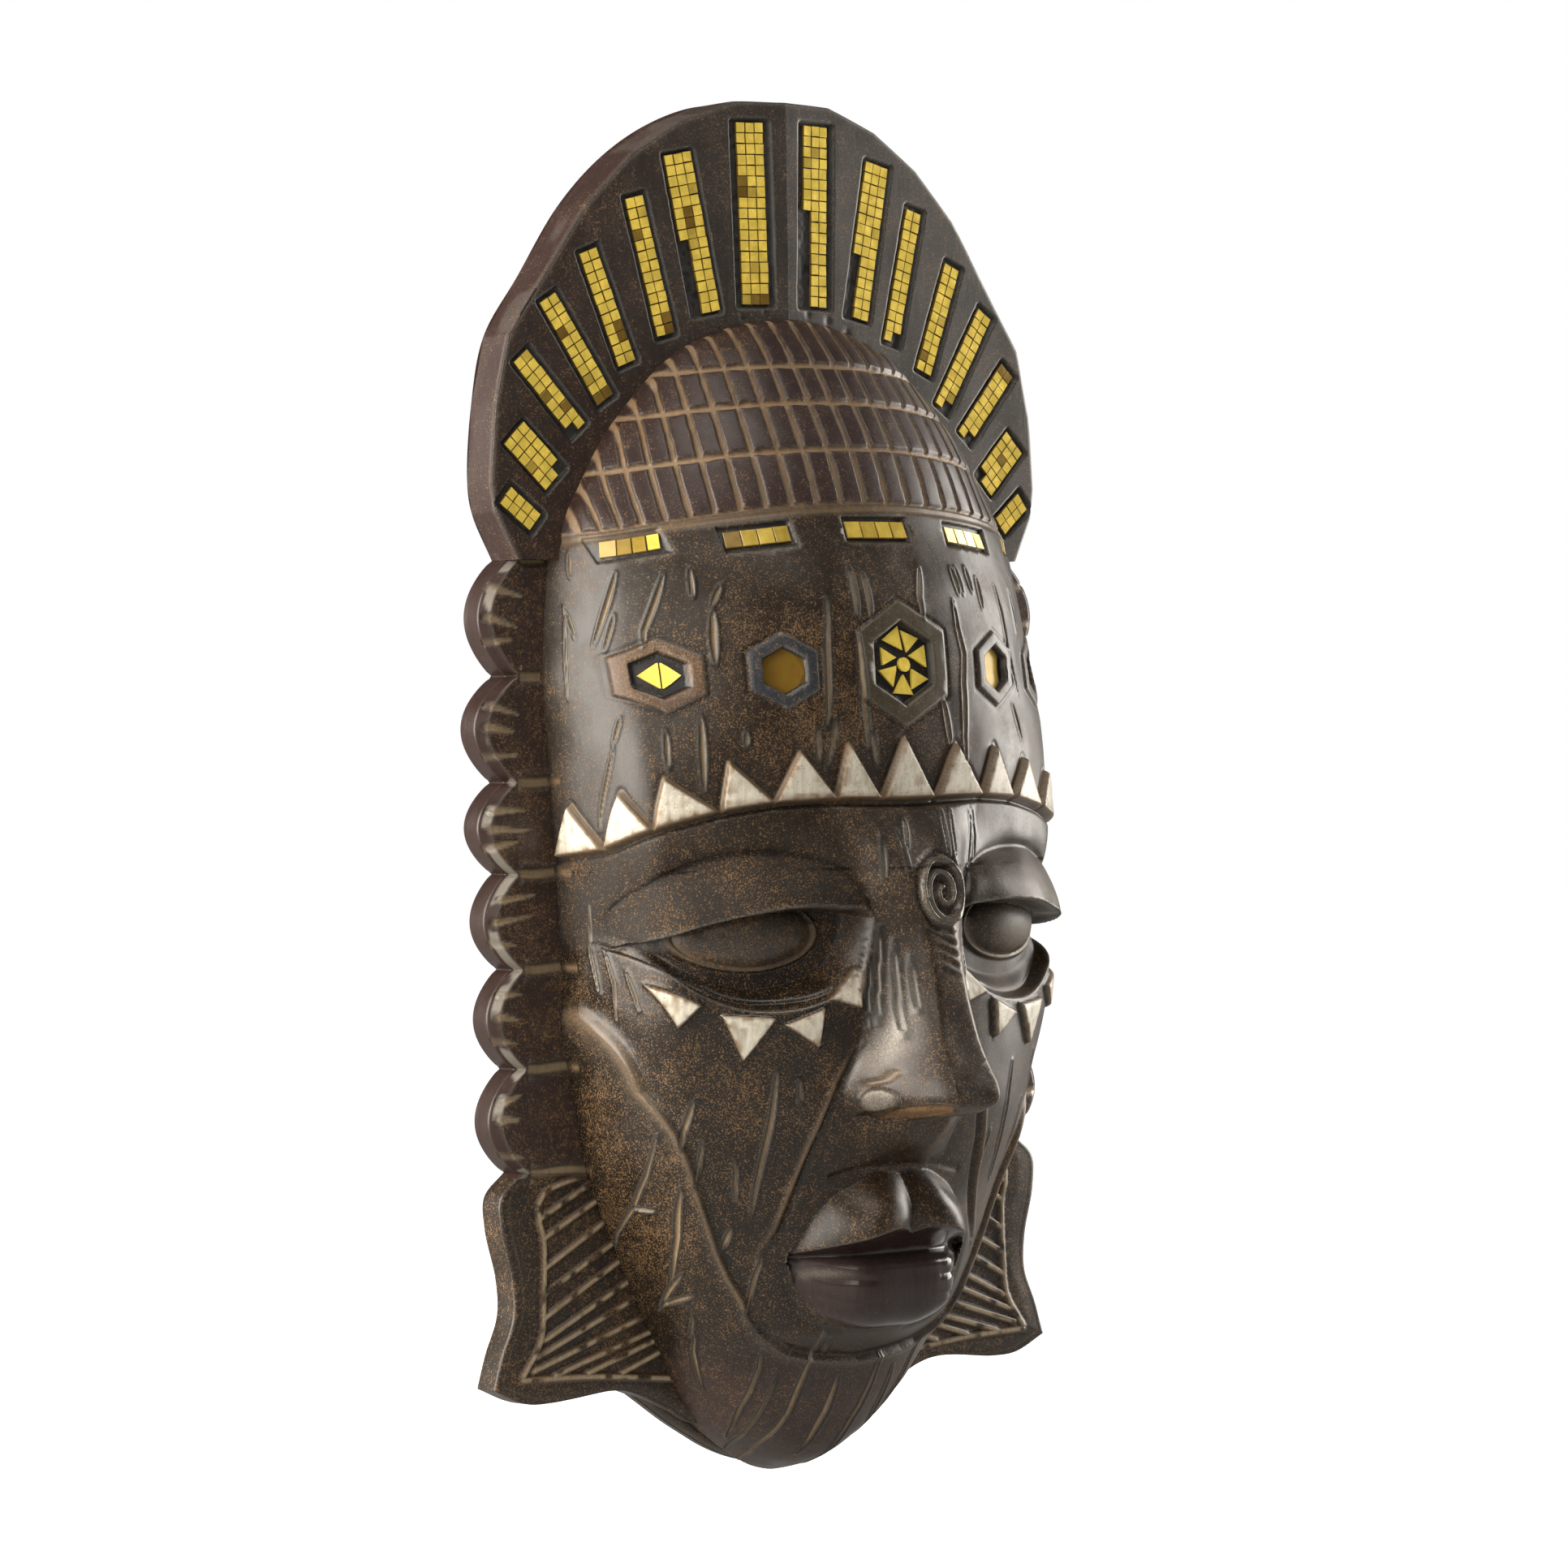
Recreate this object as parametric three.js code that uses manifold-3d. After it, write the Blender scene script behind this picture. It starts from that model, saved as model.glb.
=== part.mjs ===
// Carved wooden wall mask with mosaic strips let into its crown and forehead.
// Millimetres. +Z is up, the face looks along -Y, and the wall plane is y = 0.
// In the tables x is half width, h is height above the base line just under the chin,
// and t is depth in front of the wall.

import * as THREE from 'three';
import { mergeVertices } from 'three/addons/utils/BufferGeometryUtils.js';
import Module from 'manifold-3d';

const wasm = await Module();
wasm.setup();

// Driving sizes
const HANG_HEIGHT = 625;
const TOP_HEIGHT = 695;
const DEEPEST = 200;
const BACK_MARGIN = 5;
const PANEL_T = 17;
const RIM_BEVEL = 5;
const CROWN_EDGE_T = 20;
const CROWN_RIDGE_T = 36;
const CROWN_FROM_H = 464;
const CROWN_HALF_WIDTH = 175;
const GAP = 0.3;

// Meshing of the face: grid cells to a side, misfit allowed on the face and on the cap,
// depth behind the front where the finer patches end, and how much smaller their room is
const GRID = 256;
const FACE_TOLERANCE = 3.4;
const CAP_TOLERANCE = 9;
const PATCH_BACK = 30;
const ROOM_SCALE = 0.99;

// Plate outline, right half: crown, notches and bulges of the scalloped edge, fan
const CROWN_OUTLINE = [[0, 695], [30, 694], [62, 683], [91, 665], [117, 640], [142, 604.5],
  [163, 574], [171, 540], [174, 502], [171.5, 487], [160, 464]];
const NOTCHES = [[160, 464], [161, 407], [163, 355], [163, 310], [161, 263], [160, 214], [159, 162.5]];
const BULGES = [177.5, 180.5, 179.5, 177, 176, 176];
const BULGE_POWER = 0.8;
const BULGE_STEPS = 5;
const FAN_SIDE = [[159, 162.5], [171, 151], [171, 135], [165, 110], [164.5, 92], [172, 73], [177, 57]];
const FAN_FOOT = [[177, 57], [158, 49], [143, 48], [105, 51], [92, 48.5], [72, 39], [58, 31], [46, 30]];
const FAN_STEPS = 2;

// Face: half width of its outline on the plate, half width and depth of its sections
const FACE_EDGE = [[4, 0], [6, 12], [10, 22], [22, 41], [36, 57], [61, 72], [90, 87], [125, 104],
  [160, 118], [215, 129], [270, 134], [347, 139], [410, 143], [460, 140], [485, 134], [514, 119],
  [539, 100], [560, 79], [575, 54], [582, 34], [586, 0]];
const FACE_EDGE_STEPS = 2;
const SECTION_WIDE = [[-5, 8], [5, 33], [19, 48], [54, 77], [103, 105], [149, 129], [190, 143],
  [235, 160], [270, 165], [365, 165], [413, 150], [478, 142], [530, 114], [560, 90], [582, 54], [600, 20]];
const SECTION_DEEP = [[-5, 2], [4, 22], [11, 38], [37, 59], [62, 75], [80, 94], [104, 105], [150, 112],
  [187, 125], [235, 130], [298, 131], [343, 122], [381, 126], [410, 125.5], [439, 121], [478, 103],
  [530, 80], [560, 60], [582, 41], [600, 20]];
const SECTION_POWER = 2.1;
const FACE_TOP_H = 592;
const FACE_GRID_HALF = 152;

// Nose: ridge depth, half width of its flat top, half width at its foot
const NOSE_RIDGE = [[160, 113], [178, 133], [187, 145], [189.5, 163], [198, 176], [204, 175],
  [224, 164], [261, 154], [298, 146.5], [313, 142.5], [328, 133], [343, 122]];
const NOSE_TOP = [[160, 8], [187, 12], [204, 13], [250, 8.5], [278, 8.5], [313, 15], [343, 24]];
const NOSE_FOOT = [[160, 26], [184, 33], [195, 41], [206, 41], [224, 35], [261, 30], [280, 30],
  [313, 38], [343, 52]];
const BROW_H = 343;

// Eye: crease over the lid, lid edge and socket line as height over x, with their depths
const CREASE_H = [[28, 292], [35, 305], [48.5, 312.7], [70, 317.7], [89, 317.8], [106.5, 314],
  [125, 303.9], [134, 284]];
const CREASE_T = [[28, 128], [48.5, 119.5], [70, 110], [89, 104], [106.5, 93.7], [134, 70]];
const LID_H = [[26, 286], [31, 289.3], [67.6, 292.7], [88, 290.5], [103, 286.9], [121.3, 280.9], [137, 270]];
const LID_T = [[26, 133], [48, 132], [67.6, 130], [85, 124.5], [103, 113.8], [121.3, 99], [137, 66]];
const SOCKET_H = [[28, 290], [34, 261.3], [42, 254], [73.4, 245], [96.3, 247.8], [113, 257], [133, 276]];
const SOCKET_T = [[28, 124], [53, 119.5], [73.4, 108.5], [96.3, 97], [133, 68]];
const EYE_PLANE_T = [[28, 116], [50, 110], [82, 101], [111, 86], [134, 62]];
const EYE_COLUMNS = [27, 32, 40, 52, 64, 76, 88, 100, 111, 120, 129, 138];
const EYE = { x: 82, h: 279, halfWide: 33, halfHigh: 16.5, sunk: 4, bulge: 11, rim: 5 };

// Mouth: outlines as height over x, with the depths of both lips and the parting line
const MOUTH_HALF = 55.5;
const MOUTH_COLUMNS = [0, 9, 18, 27, 37, 47, 55];
const MOUTH_H = 119;
const LIP_TOP_H = [[0, 158.5], [15, 159.8], [27, 155], [40, 146], [50, 132], [55, 121.5]];
const LIP_EDGE_H = [[0, 129.5], [7, 132.3], [18, 132], [30, 128.5], [55, 120.5]];
const LIP_EDGE_T = [[0, 123], [8, 127.5], [18, 130], [28, 128], [36, 121.5], [45, 109], [55, 90.5]];
const PARTING_T = [[0, 113.5], [20, 113], [36, 106.5], [55, 88.5]];
const LOWER_LIP_T = [[0, 121], [20, 120.5], [36, 112], [55, 88]];
const LIP_LOW_H = [[0, 80.5], [15, 81], [28, 84.5], [40, 91], [50, 103], [55, 116]];

// Crown bars: middle of the recess, tilt from level, recess size, and the rows of tiles in
// each column of the left and of the right bar, columns from left to right
const TILE = 5.4;
const BARS = [
  { x: 20, h: 638, tilt: 88.5, long: 95, wide: 24, left: [17, 17, 17], right: [8, 17, 17] },
  { x: 56, h: 627, tilt: 78.5, long: 84, wide: 20, left: [8, 15, 15], right: [9, 15, 15] },
  { x: 81, h: 610, tilt: 75.5, long: 75, wide: 15, left: [13, 13], right: [13, 12] },
  { x: 106, h: 589, tilt: 68.5, long: 64, wide: 15, left: [11, 11], right: [11, 11] },
  { x: 124, h: 568, tilt: 57, long: 64, wide: 15, left: [11, 11], right: [11, 10] },
  { x: 140, h: 546, tilt: 48, long: 52, wide: 15, left: [8, 9], right: [9, 8] },
  { x: 149, h: 515, tilt: 44.5, long: 36, wide: 19, left: [6, 6, 5], right: [5, 6, 6] },
  { x: 157.5, h: 489, tilt: 39, long: 27, wide: 15, left: [4, 4], right: [4, 4] },
];
const BAR_RECESS = 3;
const TILE_SUNK = 0.8;

// Forehead strips: middle, size across and up, tilt
const STRIPS = [
  { name: 'far_left', x: -120, h: 470, wide: 22, high: 9, tilt: 11 },
  { name: 'left', x: -66, h: 473.5, wide: 33, high: 9, tilt: 6 },
  { name: 'middle', x: 1, h: 477, wide: 38, high: 9.5, tilt: 0 },
  { name: 'right', x: 66, h: 473.5, wide: 33, high: 9, tilt: -6 },
  { name: 'far_right', x: 120, h: 470, wide: 22, high: 9, tilt: -11 },
];
const STRIP_MARGIN = 3;
const STRIP_RECESS = 3;
const STEEP_GAP = 0.9;

// Hexagons on the forehead: half widths of the raised frame and of the sunk field
const WHEEL = { x: -1.2, h: 410.5, frame: 27, field: 18 };
const WHEEL_HUB = { x: -0.3, h: 409.8, radius: 3.6 };
const WHEEL_TILES = [
  [[-12.5, 422.1], [-0.6, 416.9], [-1.9, 428.9]],
  [[-0.2, 426.7], [2, 415.8], [10.6, 422.6]],
  [[-13.8, 418.4], [-13.6, 409.6], [-4.9, 413.3]],
  [[3.3, 414.1], [13.9, 408.4], [14.1, 419.4]],
  [[-16.2, 407], [-7.6, 398.9], [-5.5, 409.2]],
  [[3.9, 407.6], [4.1, 397.6], [14.8, 402.5]],
  [[-7.4, 395.7], [5, 394.8], [-1.5, 404.8]],
];
const GEM = { x: 66.5, h: 407.5, frame: 16, field: 11, stone: 9.6 };
const RHOMBUS = { x: 117, h: 406, frame: 15.5, field: 10, halfWide: 7.4, halfHigh: 6.2, seam: 0.5 };
const FRAME_LIFT = 1.5;
const FIELD_RECESS = 3;
const STONE_SUNK = 0.6;

// Row of teeth over the brows: base line, and for each tooth its two ends and its peak
const TEETH_BASE_H = [[0, 343.5], [50, 344.5], [78, 342.5], [102, 337.5], [123, 330], [136, 321]];
const TEETH = [[-16.4, 16.4, 0, 372.5], [17.5, 46.5, 32.5, 370.5], [47.5, 75, 61, 368.5],
  [76, 101, 91, 362], [102, 123, 117, 355]];
const SIDE_TEETH = [[77, 49, 62, 346], [48, 18, 27, 341]];
const SIDE_TEETH_BASE_H = [[18, 316], [77, 322]];
const TOOTH_LIFT = 3.5;
const FACE_SIDE_X = 139;

// Triangles under the eye, right side
const EYE_TRIANGLES = [[[126, 256], [109, 246], [117, 235]], [[101, 241], [77, 239], [90, 218]],
  [[73, 235.5], [53.5, 243], [55.5, 223.5]], [[50, 247], [36, 259], [33.5, 242]]];
const TRIANGLE_LIFT = 3;

// Cap: heights of its level grooves, their bend, and the turn from one meridian to the next
const CAP_LINES_H = [490, 518, 542, 561];
const CAP_BEND = 0.00081;
const CAP_GROOVE = { wide: 3.6, deep: 2.4 };
const CAP_TURN = 0.104;
const CAP_RADIUS = 139;
const CAP_MERIDIANS = 10;

// Plate: spokes between the bulges, ribs and frame line of the fans
const SPOKE = { wide: 4.5, deep: 2.5 };
const FAN_RIB = { wide: 3.2, deep: 2.2 };
const FAN_RIBS = [[[149, 140], [119, 155]], [[147.5, 130], [114, 147]], [[147.5, 115], [108, 137]],
  [[147.5, 102.5], [103, 126]], [[147.5, 91], [97, 118]], [[147.5, 80], [92, 107]],
  [[152, 72], [88, 98]], [[155, 65], [83, 88]], [[142, 62], [79, 80]], [[122, 61.5], [75, 76]],
  [[101, 60], [72, 70]]];
const FAN_LINE = [[122, 160], [148, 151], [150, 140], [147.5, 130], [148, 100], [150, 80], [161, 63]];
const FAN_FOOT_LINE = [[161, 61], [120, 59.5], [66, 54]];

// Jaw band, raised outside this line
const JAW_LINE = [[127, 226], [108, 182], [95, 142], [76, 105], [57, 80], [38, 68], [18, 64.5], [0, 64]];
const JAW_LIFT = 3;

// Curl on the root of the nose
const CURL = { x: 3, h: 298, outer: 14, wide: 3.4, lift: 2.5, inner: 5 };

// Hollow in the back, and the blind hole that the mask hangs by
const HOLLOW = { halfWide: 112, deep: 85, halfHigh: 236, h: 320 };
const HANG_HOLE = { radius: 4.5, deep: 14, up: 26 };

// Smooth curve through a few (place, value) points, level beyond its ends
function along(points, s) {
  const last = points.length - 1;
  let i = 0;
  while (i < last - 1 && s > points[i + 1][0]) i += 1;
  const [a, va] = points[i];
  const [b, vb] = points[i + 1];
  const u = Math.min(Math.max((s - a) / (b - a), 0), 1);
  const sa = slopeAt(points, i) * (b - a);
  const sb = slopeAt(points, i + 1) * (b - a);
  return va * (1 + 2 * u) * (1 - u) ** 2 + sa * u * (1 - u) ** 2
    + vb * u * u * (3 - 2 * u) - sb * u * u * (1 - u);
}

// Slope at a point, from both neighbours
function slopeAt(points, i) {
  const step = (j) => points[j + 1][0] - points[j][0];
  const rise = (j) => (points[j + 1][1] - points[j][1]) / step(j);
  if (i === 0) return rise(0);
  if (i === points.length - 1) return rise(i - 1);
  return (rise(i - 1) * step(i) + rise(i) * step(i - 1)) / (step(i - 1) + step(i));
}

const clamp01 = (v) => Math.min(Math.max(v, 0), 1);
const mix = (a, b, u) => a + (b - a) * u;

function ease(from, to, s) {
  const u = clamp01((s - from) / (to - from));
  return u * u * (3 - 2 * u);
}

// Depth of the bare head, without nose, eyes and mouth
function headDepth(x, h) {
  const u = Math.min(x / along(SECTION_WIDE, h), 1);
  return along(SECTION_DEEP, h) * Math.sqrt(1 - u ** SECTION_POWER);
}

function addNose(x, h, t) {
  const top = along(NOSE_TOP, h);
  const foot = along(NOSE_FOOT, h);
  const side = clamp01((foot - x) / (foot - top));
  const share = mix(side, ease(0, 1, side), 0.55);
  const inReach = ease(155, 165, h) * (1 - ease(BROW_H - 5, BROW_H + 3, h));
  return t + Math.max(along(NOSE_RIDGE, h) - t, 0) * share * inReach;
}

// Eyeball in its lower lid
function eyeballDepth(x, h) {
  const plane = along(EYE_PLANE_T, x);
  const out = Math.hypot((x - EYE.x) / EYE.halfWide, (h - EYE.h) / EYE.halfHigh);
  const ball = plane - EYE.sunk + EYE.bulge * Math.sqrt(Math.max(1 - out * out, 0));
  const lid = plane + EYE.rim * Math.exp(-(((out - 1.13) / 0.12) ** 2));
  return Math.max(ball, lid);
}

function addEye(x, h, t) {
  if (h > BROW_H) return t;
  const crease = along(CREASE_H, x);
  const lid = along(LID_H, x);
  const socket = along(SOCKET_H, x);
  const creaseT = along(CREASE_T, x);
  const lidT = along(LID_T, x);
  const socketT = along(SOCKET_T, x);
  let inside;
  if (h >= crease) {
    inside = mix(creaseT, t, 1 - (1 - (h - crease) / (BROW_H - crease)) ** 2.2);
  } else if (h >= lid) {
    const down = (crease - h) / Math.max(crease - lid, 1);
    const slope = 0.75 * down + 0.25 * Math.sin(down * Math.PI / 2);
    inside = mix(creaseT, lidT, slope) + 2 * Math.sin(down * Math.PI);
  } else if (h >= socket) {
    const lower = mix(socketT, eyeballDepth(x, h), ease(0, 9, h - socket));
    inside = mix(lidT, Math.min(lower, lidT), ease(0, 2.2, lid - h));
  } else {
    inside = Math.min(mix(socketT, t, ease(0, 4, socket - h)), t);
  }
  const inReach = ease(27, 34, x) * (1 - ease(131, 139, x));
  return mix(t, inside, inReach);
}

function addMouth(x, h, t) {
  const top = along(LIP_TOP_H, x);
  const edge = along(LIP_EDGE_H, x);
  const low = along(LIP_LOW_H, x);
  if (x > MOUTH_HALF || h > top || h < low) return t;
  const edgeT = along(LIP_EDGE_T, x);
  const partingT = along(PARTING_T, x);
  if (h >= edge) {
    const down = (top - h) / Math.max(top - edge, 1);
    return mix(t, edgeT, 1 - (1 - down) ** 2) + 3 * Math.sin(down * Math.PI) * (1 - x / 56);
  }
  if (h >= MOUTH_H) {
    const down = (edge - h) / Math.max(edge - MOUTH_H, 0.5);
    return mix(edgeT, partingT, Math.sin(down * Math.PI / 2));
  }
  const down = clamp01((MOUTH_H - h) / Math.max(MOUTH_H - low, 0.5));
  const full = mix(partingT, along(LOWER_LIP_T, x), Math.sin(Math.min(down / 0.18, 1) * Math.PI / 2));
  const under = clamp01((down - 0.35) / 0.65);
  return mix(full, t, 1 - Math.sqrt(1 - under ** 2.6));
}

// Face without its eyes and mouth, and with them
function plainDepth(x, h) {
  const side = Math.abs(x);
  return addNose(side, h, headDepth(side, h));
}

function faceDepth(x, h) {
  const side = Math.abs(x);
  return addMouth(side, h, addEye(side, h, plainDepth(side, h)));
}

// Heights of the edges that cross one column of an eye or of the mouth, from the top down
function eyeRows(x) {
  const lid = along(LID_H, x);
  const crease = Math.max(along(CREASE_H, x), lid + 2);
  const socket = Math.min(along(SOCKET_H, x), lid - 6);
  const ball = [0.12, 0.4, 0.65, 0.85].map((s) => mix(lid, socket, s));
  const above = [BROW_H - 2, mix(BROW_H, crease, 0.5), crease, mix(crease, lid, 0.5), lid, lid - 0.4];
  return [...above, ...ball, socket, socket - 4];
}

function mouthRows(x) {
  const top = along(LIP_TOP_H, x);
  const edge = Math.min(along(LIP_EDGE_H, x), top - 0.6);
  const low = Math.min(along(LIP_LOW_H, x), MOUTH_H - 2);
  const under = [0.1, 0.2, 0.5, 0.8, 1].map((s) => mix(MOUTH_H, low, s));
  return [top, mix(top, edge, 0.5), edge, mix(edge, MOUTH_H, 0.5), MOUTH_H, ...under];
}

// Geometry in and out of the boolean library
function toSolid(geometry) {
  const bare = geometry.clone();
  bare.deleteAttribute('normal');
  bare.deleteAttribute('uv');
  const merged = mergeVertices(bare, 1e-4);
  return new wasm.Manifold(new wasm.Mesh({
    numProp: 3,
    vertProperties: Float32Array.from(merged.attributes.position.array),
    triVerts: Uint32Array.from(merged.index.array),
  }));
}

function toGeometry(solid) {
  const mesh = solid.getMesh();
  const geometry = new THREE.BufferGeometry();
  geometry.setAttribute('position', new THREE.BufferAttribute(Float32Array.from(mesh.vertProperties), 3));
  geometry.setIndex(new THREE.BufferAttribute(Uint32Array.from(mesh.triVerts), 1));
  geometry.computeVertexNormals();
  return geometry;
}

// Prism on an outline of (x, h) points, from the wall plane forward
function prism(points, fromT = -BACK_MARGIN, toT = DEEPEST, bevel = 0) {
  const outline = points.map(([x, h]) => new THREE.Vector2(x, h - HANG_HEIGHT));
  const geometry = new THREE.ExtrudeGeometry(new THREE.Shape(outline), {
    depth: toT - fromT - 2 * bevel,
    bevelEnabled: bevel > 0,
    bevelThickness: bevel,
    bevelSize: bevel,
    bevelOffset: -bevel,
    bevelSegments: 1,
  });
  geometry.translate(0, 0, fromT + bevel);
  geometry.rotateX(Math.PI / 2);
  return toSolid(geometry);
}

// Prism on a section of (x, t) points, between two heights
function bar(points, fromH, toH) {
  const section = points.map(([x, t]) => new THREE.Vector2(x, -t));
  const shape = new THREE.Shape(section);
  const geometry = new THREE.ExtrudeGeometry(shape, { depth: toH - fromH, bevelEnabled: false });
  geometry.translate(0, 0, fromH - HANG_HEIGHT);
  return toSolid(geometry);
}

const mirrorPoints = (points) => points.map(([x, h]) => [-x, h]).reverse();

// Both halves of an outline given from the top middle down to the bottom middle
function bothSides(half) {
  const left = half.filter(([x]) => x > 0).map(([x, h]) => [-x, h]).reverse();
  return [...half, ...left];
}

// Points on a smooth curve through a few (x, h) points
function smoothed(points, steps) {
  const knots = points.map(([x, h]) => new THREE.Vector3(x, h, 0));
  const curve = new THREE.CatmullRomCurve3(knots, false, 'centripetal');
  return curve.getPoints(steps * (points.length - 1)).map((p) => [p.x, p.y]);
}

function plateOutline() {
  const half = [...CROWN_OUTLINE];
  for (let k = 0; k < BULGES.length; k += 1) {
    const [x0, h0] = NOTCHES[k];
    const [x1, h1] = NOTCHES[k + 1];
    for (let i = 1; i <= BULGE_STEPS; i += 1) {
      const s = i / BULGE_STEPS;
      const chord = mix(x0, x1, s);
      const swell = i < BULGE_STEPS ? Math.sin(Math.PI * s) ** BULGE_POWER : 0;
      half.push([mix(chord, BULGES[k], swell), mix(h0, h1, s)]);
    }
  }
  half.push(...smoothed(FAN_SIDE, FAN_STEPS).slice(1), ...smoothed(FAN_FOOT, FAN_STEPS).slice(1));
  return bothSides(half);
}

function faceOutline(margin = 0) {
  const half = [];
  for (let i = 0; i < FACE_EDGE.length - 1; i += 1) {
    const [h0, x0] = FACE_EDGE[i];
    const [h1, x1] = FACE_EDGE[i + 1];
    const steep = x0 === 0 || x1 === 0;
    for (let k = 0; k < FACE_EDGE_STEPS; k += 1) {
      const u = k / FACE_EDGE_STEPS;
      const h = mix(h0, h1, u);
      half.push([(steep ? mix(x0, x1, u) : along(FACE_EDGE, h)) + margin, h]);
    }
  }
  half.push([0, FACE_EDGE[FACE_EDGE.length - 1][0]]);
  return bothSides(half.reverse());
}

// Closed slab whose front is a depth function, meshed finely only where it bends.
// It halves right triangles of a square grid until their middles are near the surface.
function slab(depthAt) {
  const row = GRID + 1;
  const place = (i, j) => [mix(-FACE_GRID_HALF, FACE_GRID_HALF, i / GRID), mix(0, FACE_TOP_H, j / GRID)];
  const depth = new Float64Array(row * row);
  for (let j = 0; j < row; j += 1) {
    for (let i = 0; i < row; i += 1) depth[j * row + i] = depthAt(...place(i, j));
  }
  const cell = place(1, 1)[0] - place(0, 0)[0];
  const misfit = new Float64Array(row * row);
  const count = GRID * GRID * 2 - 2;
  for (let k = count - 1; k >= 0; k -= 1) {
    let id = k + 2;
    let [ax, ay, bx, by, cx, cy] = id & 1 ? [0, 0, GRID, GRID, GRID, 0] : [GRID, GRID, 0, 0, 0, GRID];
    while ((id >>= 1) > 1) {
      const mx = (ax + bx) >> 1;
      const my = (ay + by) >> 1;
      [ax, ay, bx, by] = id & 1 ? [cx, cy, ax, ay] : [bx, by, cx, cy];
      [cx, cy] = [mx, my];
    }
    const mx = (ax + bx) >> 1;
    const my = (ay + by) >> 1;
    const ta = depth[ay * row + ax];
    const tb = depth[by * row + bx];
    const steepness = Math.hypot(1, (ta - tb) / (cell * Math.hypot(ax - bx, ay - by)));
    const middle = my * row + mx;
    const allowed = place(mx, my)[1] > CAP_LINES_H[0] ? CAP_TOLERANCE : FACE_TOLERANCE;
    const own = Math.abs((ta + tb) / 2 - depth[middle]) / steepness / allowed;
    misfit[middle] = Math.max(misfit[middle], own);
    if (k < count - GRID * GRID) {
      cx = mx + my - ay;
      cy = my + ax - mx;
      const left = ((ay + cy) >> 1) * row + ((ax + cx) >> 1);
      const right = ((by + cy) >> 1) * row + ((bx + cx) >> 1);
      misfit[middle] = Math.max(misfit[middle], misfit[left], misfit[right]);
    }
  }
  const position = [];
  const put = (i, j, t) => {
    const [x, h] = place(i, j);
    position.push(x, -t, h - HANG_HEIGHT);
  };
  const onRim = (i, j) => i === 0 || j === 0 || i === GRID || j === GRID;
  const sideDown = (i, j, p, q) => {
    const top = depth[j * row + i];
    const other = depth[q * row + p];
    put(i, j, top);
    put(i, j, -BACK_MARGIN);
    put(p, q, other);
    put(p, q, other);
    put(i, j, -BACK_MARGIN);
    put(p, q, -BACK_MARGIN);
    put(p, q, -BACK_MARGIN);
    put(i, j, -BACK_MARGIN);
    put(GRID / 2, GRID / 2, -BACK_MARGIN);
  };
  const split = (ax, ay, bx, by, cx, cy) => {
    const mx = (ax + bx) >> 1;
    const my = (ay + by) >> 1;
    if (Math.abs(ax - cx) + Math.abs(ay - cy) > 1 && misfit[my * row + mx] > 1) {
      split(cx, cy, ax, ay, mx, my);
      split(bx, by, cx, cy, mx, my);
      return;
    }
    const corners = [[bx, by], [ax, ay], [cx, cy]];
    corners.forEach(([i, j]) => put(i, j, depth[j * row + i]));
    corners.forEach(([i, j], k) => {
      const [p, q] = corners[(k + 1) % 3];
      if (onRim(i, j) && onRim(p, q) && (i === p || j === q)) sideDown(i, j, p, q);
    });
  };
  split(0, 0, GRID, GRID, GRID, 0);
  split(GRID, GRID, 0, 0, 0, GRID);
  const geometry = new THREE.BufferGeometry();
  geometry.setAttribute('position', new THREE.BufferAttribute(Float32Array.from(position), 3));
  return toSolid(geometry);
}

// Block of the face whose front is a grid of columns, each with its own row heights
function patch(columns, rowsAt) {
  const grid = columns.map((x) => rowsAt(Math.abs(x)).map((h) => [x, h, faceDepth(x, h)]));
  const position = [];
  const put = ([x, h, t]) => position.push(x, -t, h - HANG_HEIGHT);
  const back = ([x, h]) => [x, h, PATCH_BACK];
  const quad = (a, b, c, d) => [a, b, c, a, c, d].forEach(put);
  const last = grid.length - 1;
  const foot = grid[0].length - 1;
  for (let i = 0; i < last; i += 1) {
    for (let j = 0; j < foot; j += 1) {
      const corners = [grid[i][j], grid[i][j + 1], grid[i + 1][j + 1], grid[i + 1][j]];
      quad(...corners);
      quad(...corners.map(back).reverse());
    }
    quad(back(grid[i][0]), grid[i][0], grid[i + 1][0], back(grid[i + 1][0]));
    quad(grid[i][foot], back(grid[i][foot]), back(grid[i + 1][foot]), grid[i + 1][foot]);
  }
  for (let j = 0; j < foot; j += 1) {
    quad(back(grid[0][j]), back(grid[0][j + 1]), grid[0][j + 1], grid[0][j]);
    quad(grid[last][j], grid[last][j + 1], back(grid[last][j + 1]), back(grid[last][j]));
  }
  const geometry = new THREE.BufferGeometry();
  geometry.setAttribute('position', new THREE.BufferAttribute(Float32Array.from(position), 3));
  const outline = [...grid.map((column) => column[foot]), ...grid.map((column) => column[0]).reverse()];
  const [middleX, middleH] = [0, 1].map((k) => outline.reduce((sum, point) => sum + point[k], 0) / outline.length);
  const room = outline.map(([x, h]) => [mix(middleX, x, ROOM_SCALE), mix(middleH, h, ROOM_SCALE)]);
  return { solid: toSolid(geometry), room: prism(room, PATCH_BACK + 1) };
}

function patches() {
  const flipped = (columns) => columns.map((x) => -x).reverse();
  return [
    patch(EYE_COLUMNS, eyeRows),
    patch(flipped(EYE_COLUMNS), eyeRows),
    patch([...flipped(MOUTH_COLUMNS.slice(1)), ...MOUTH_COLUMNS], mouthRows),
  ];
}

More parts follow.
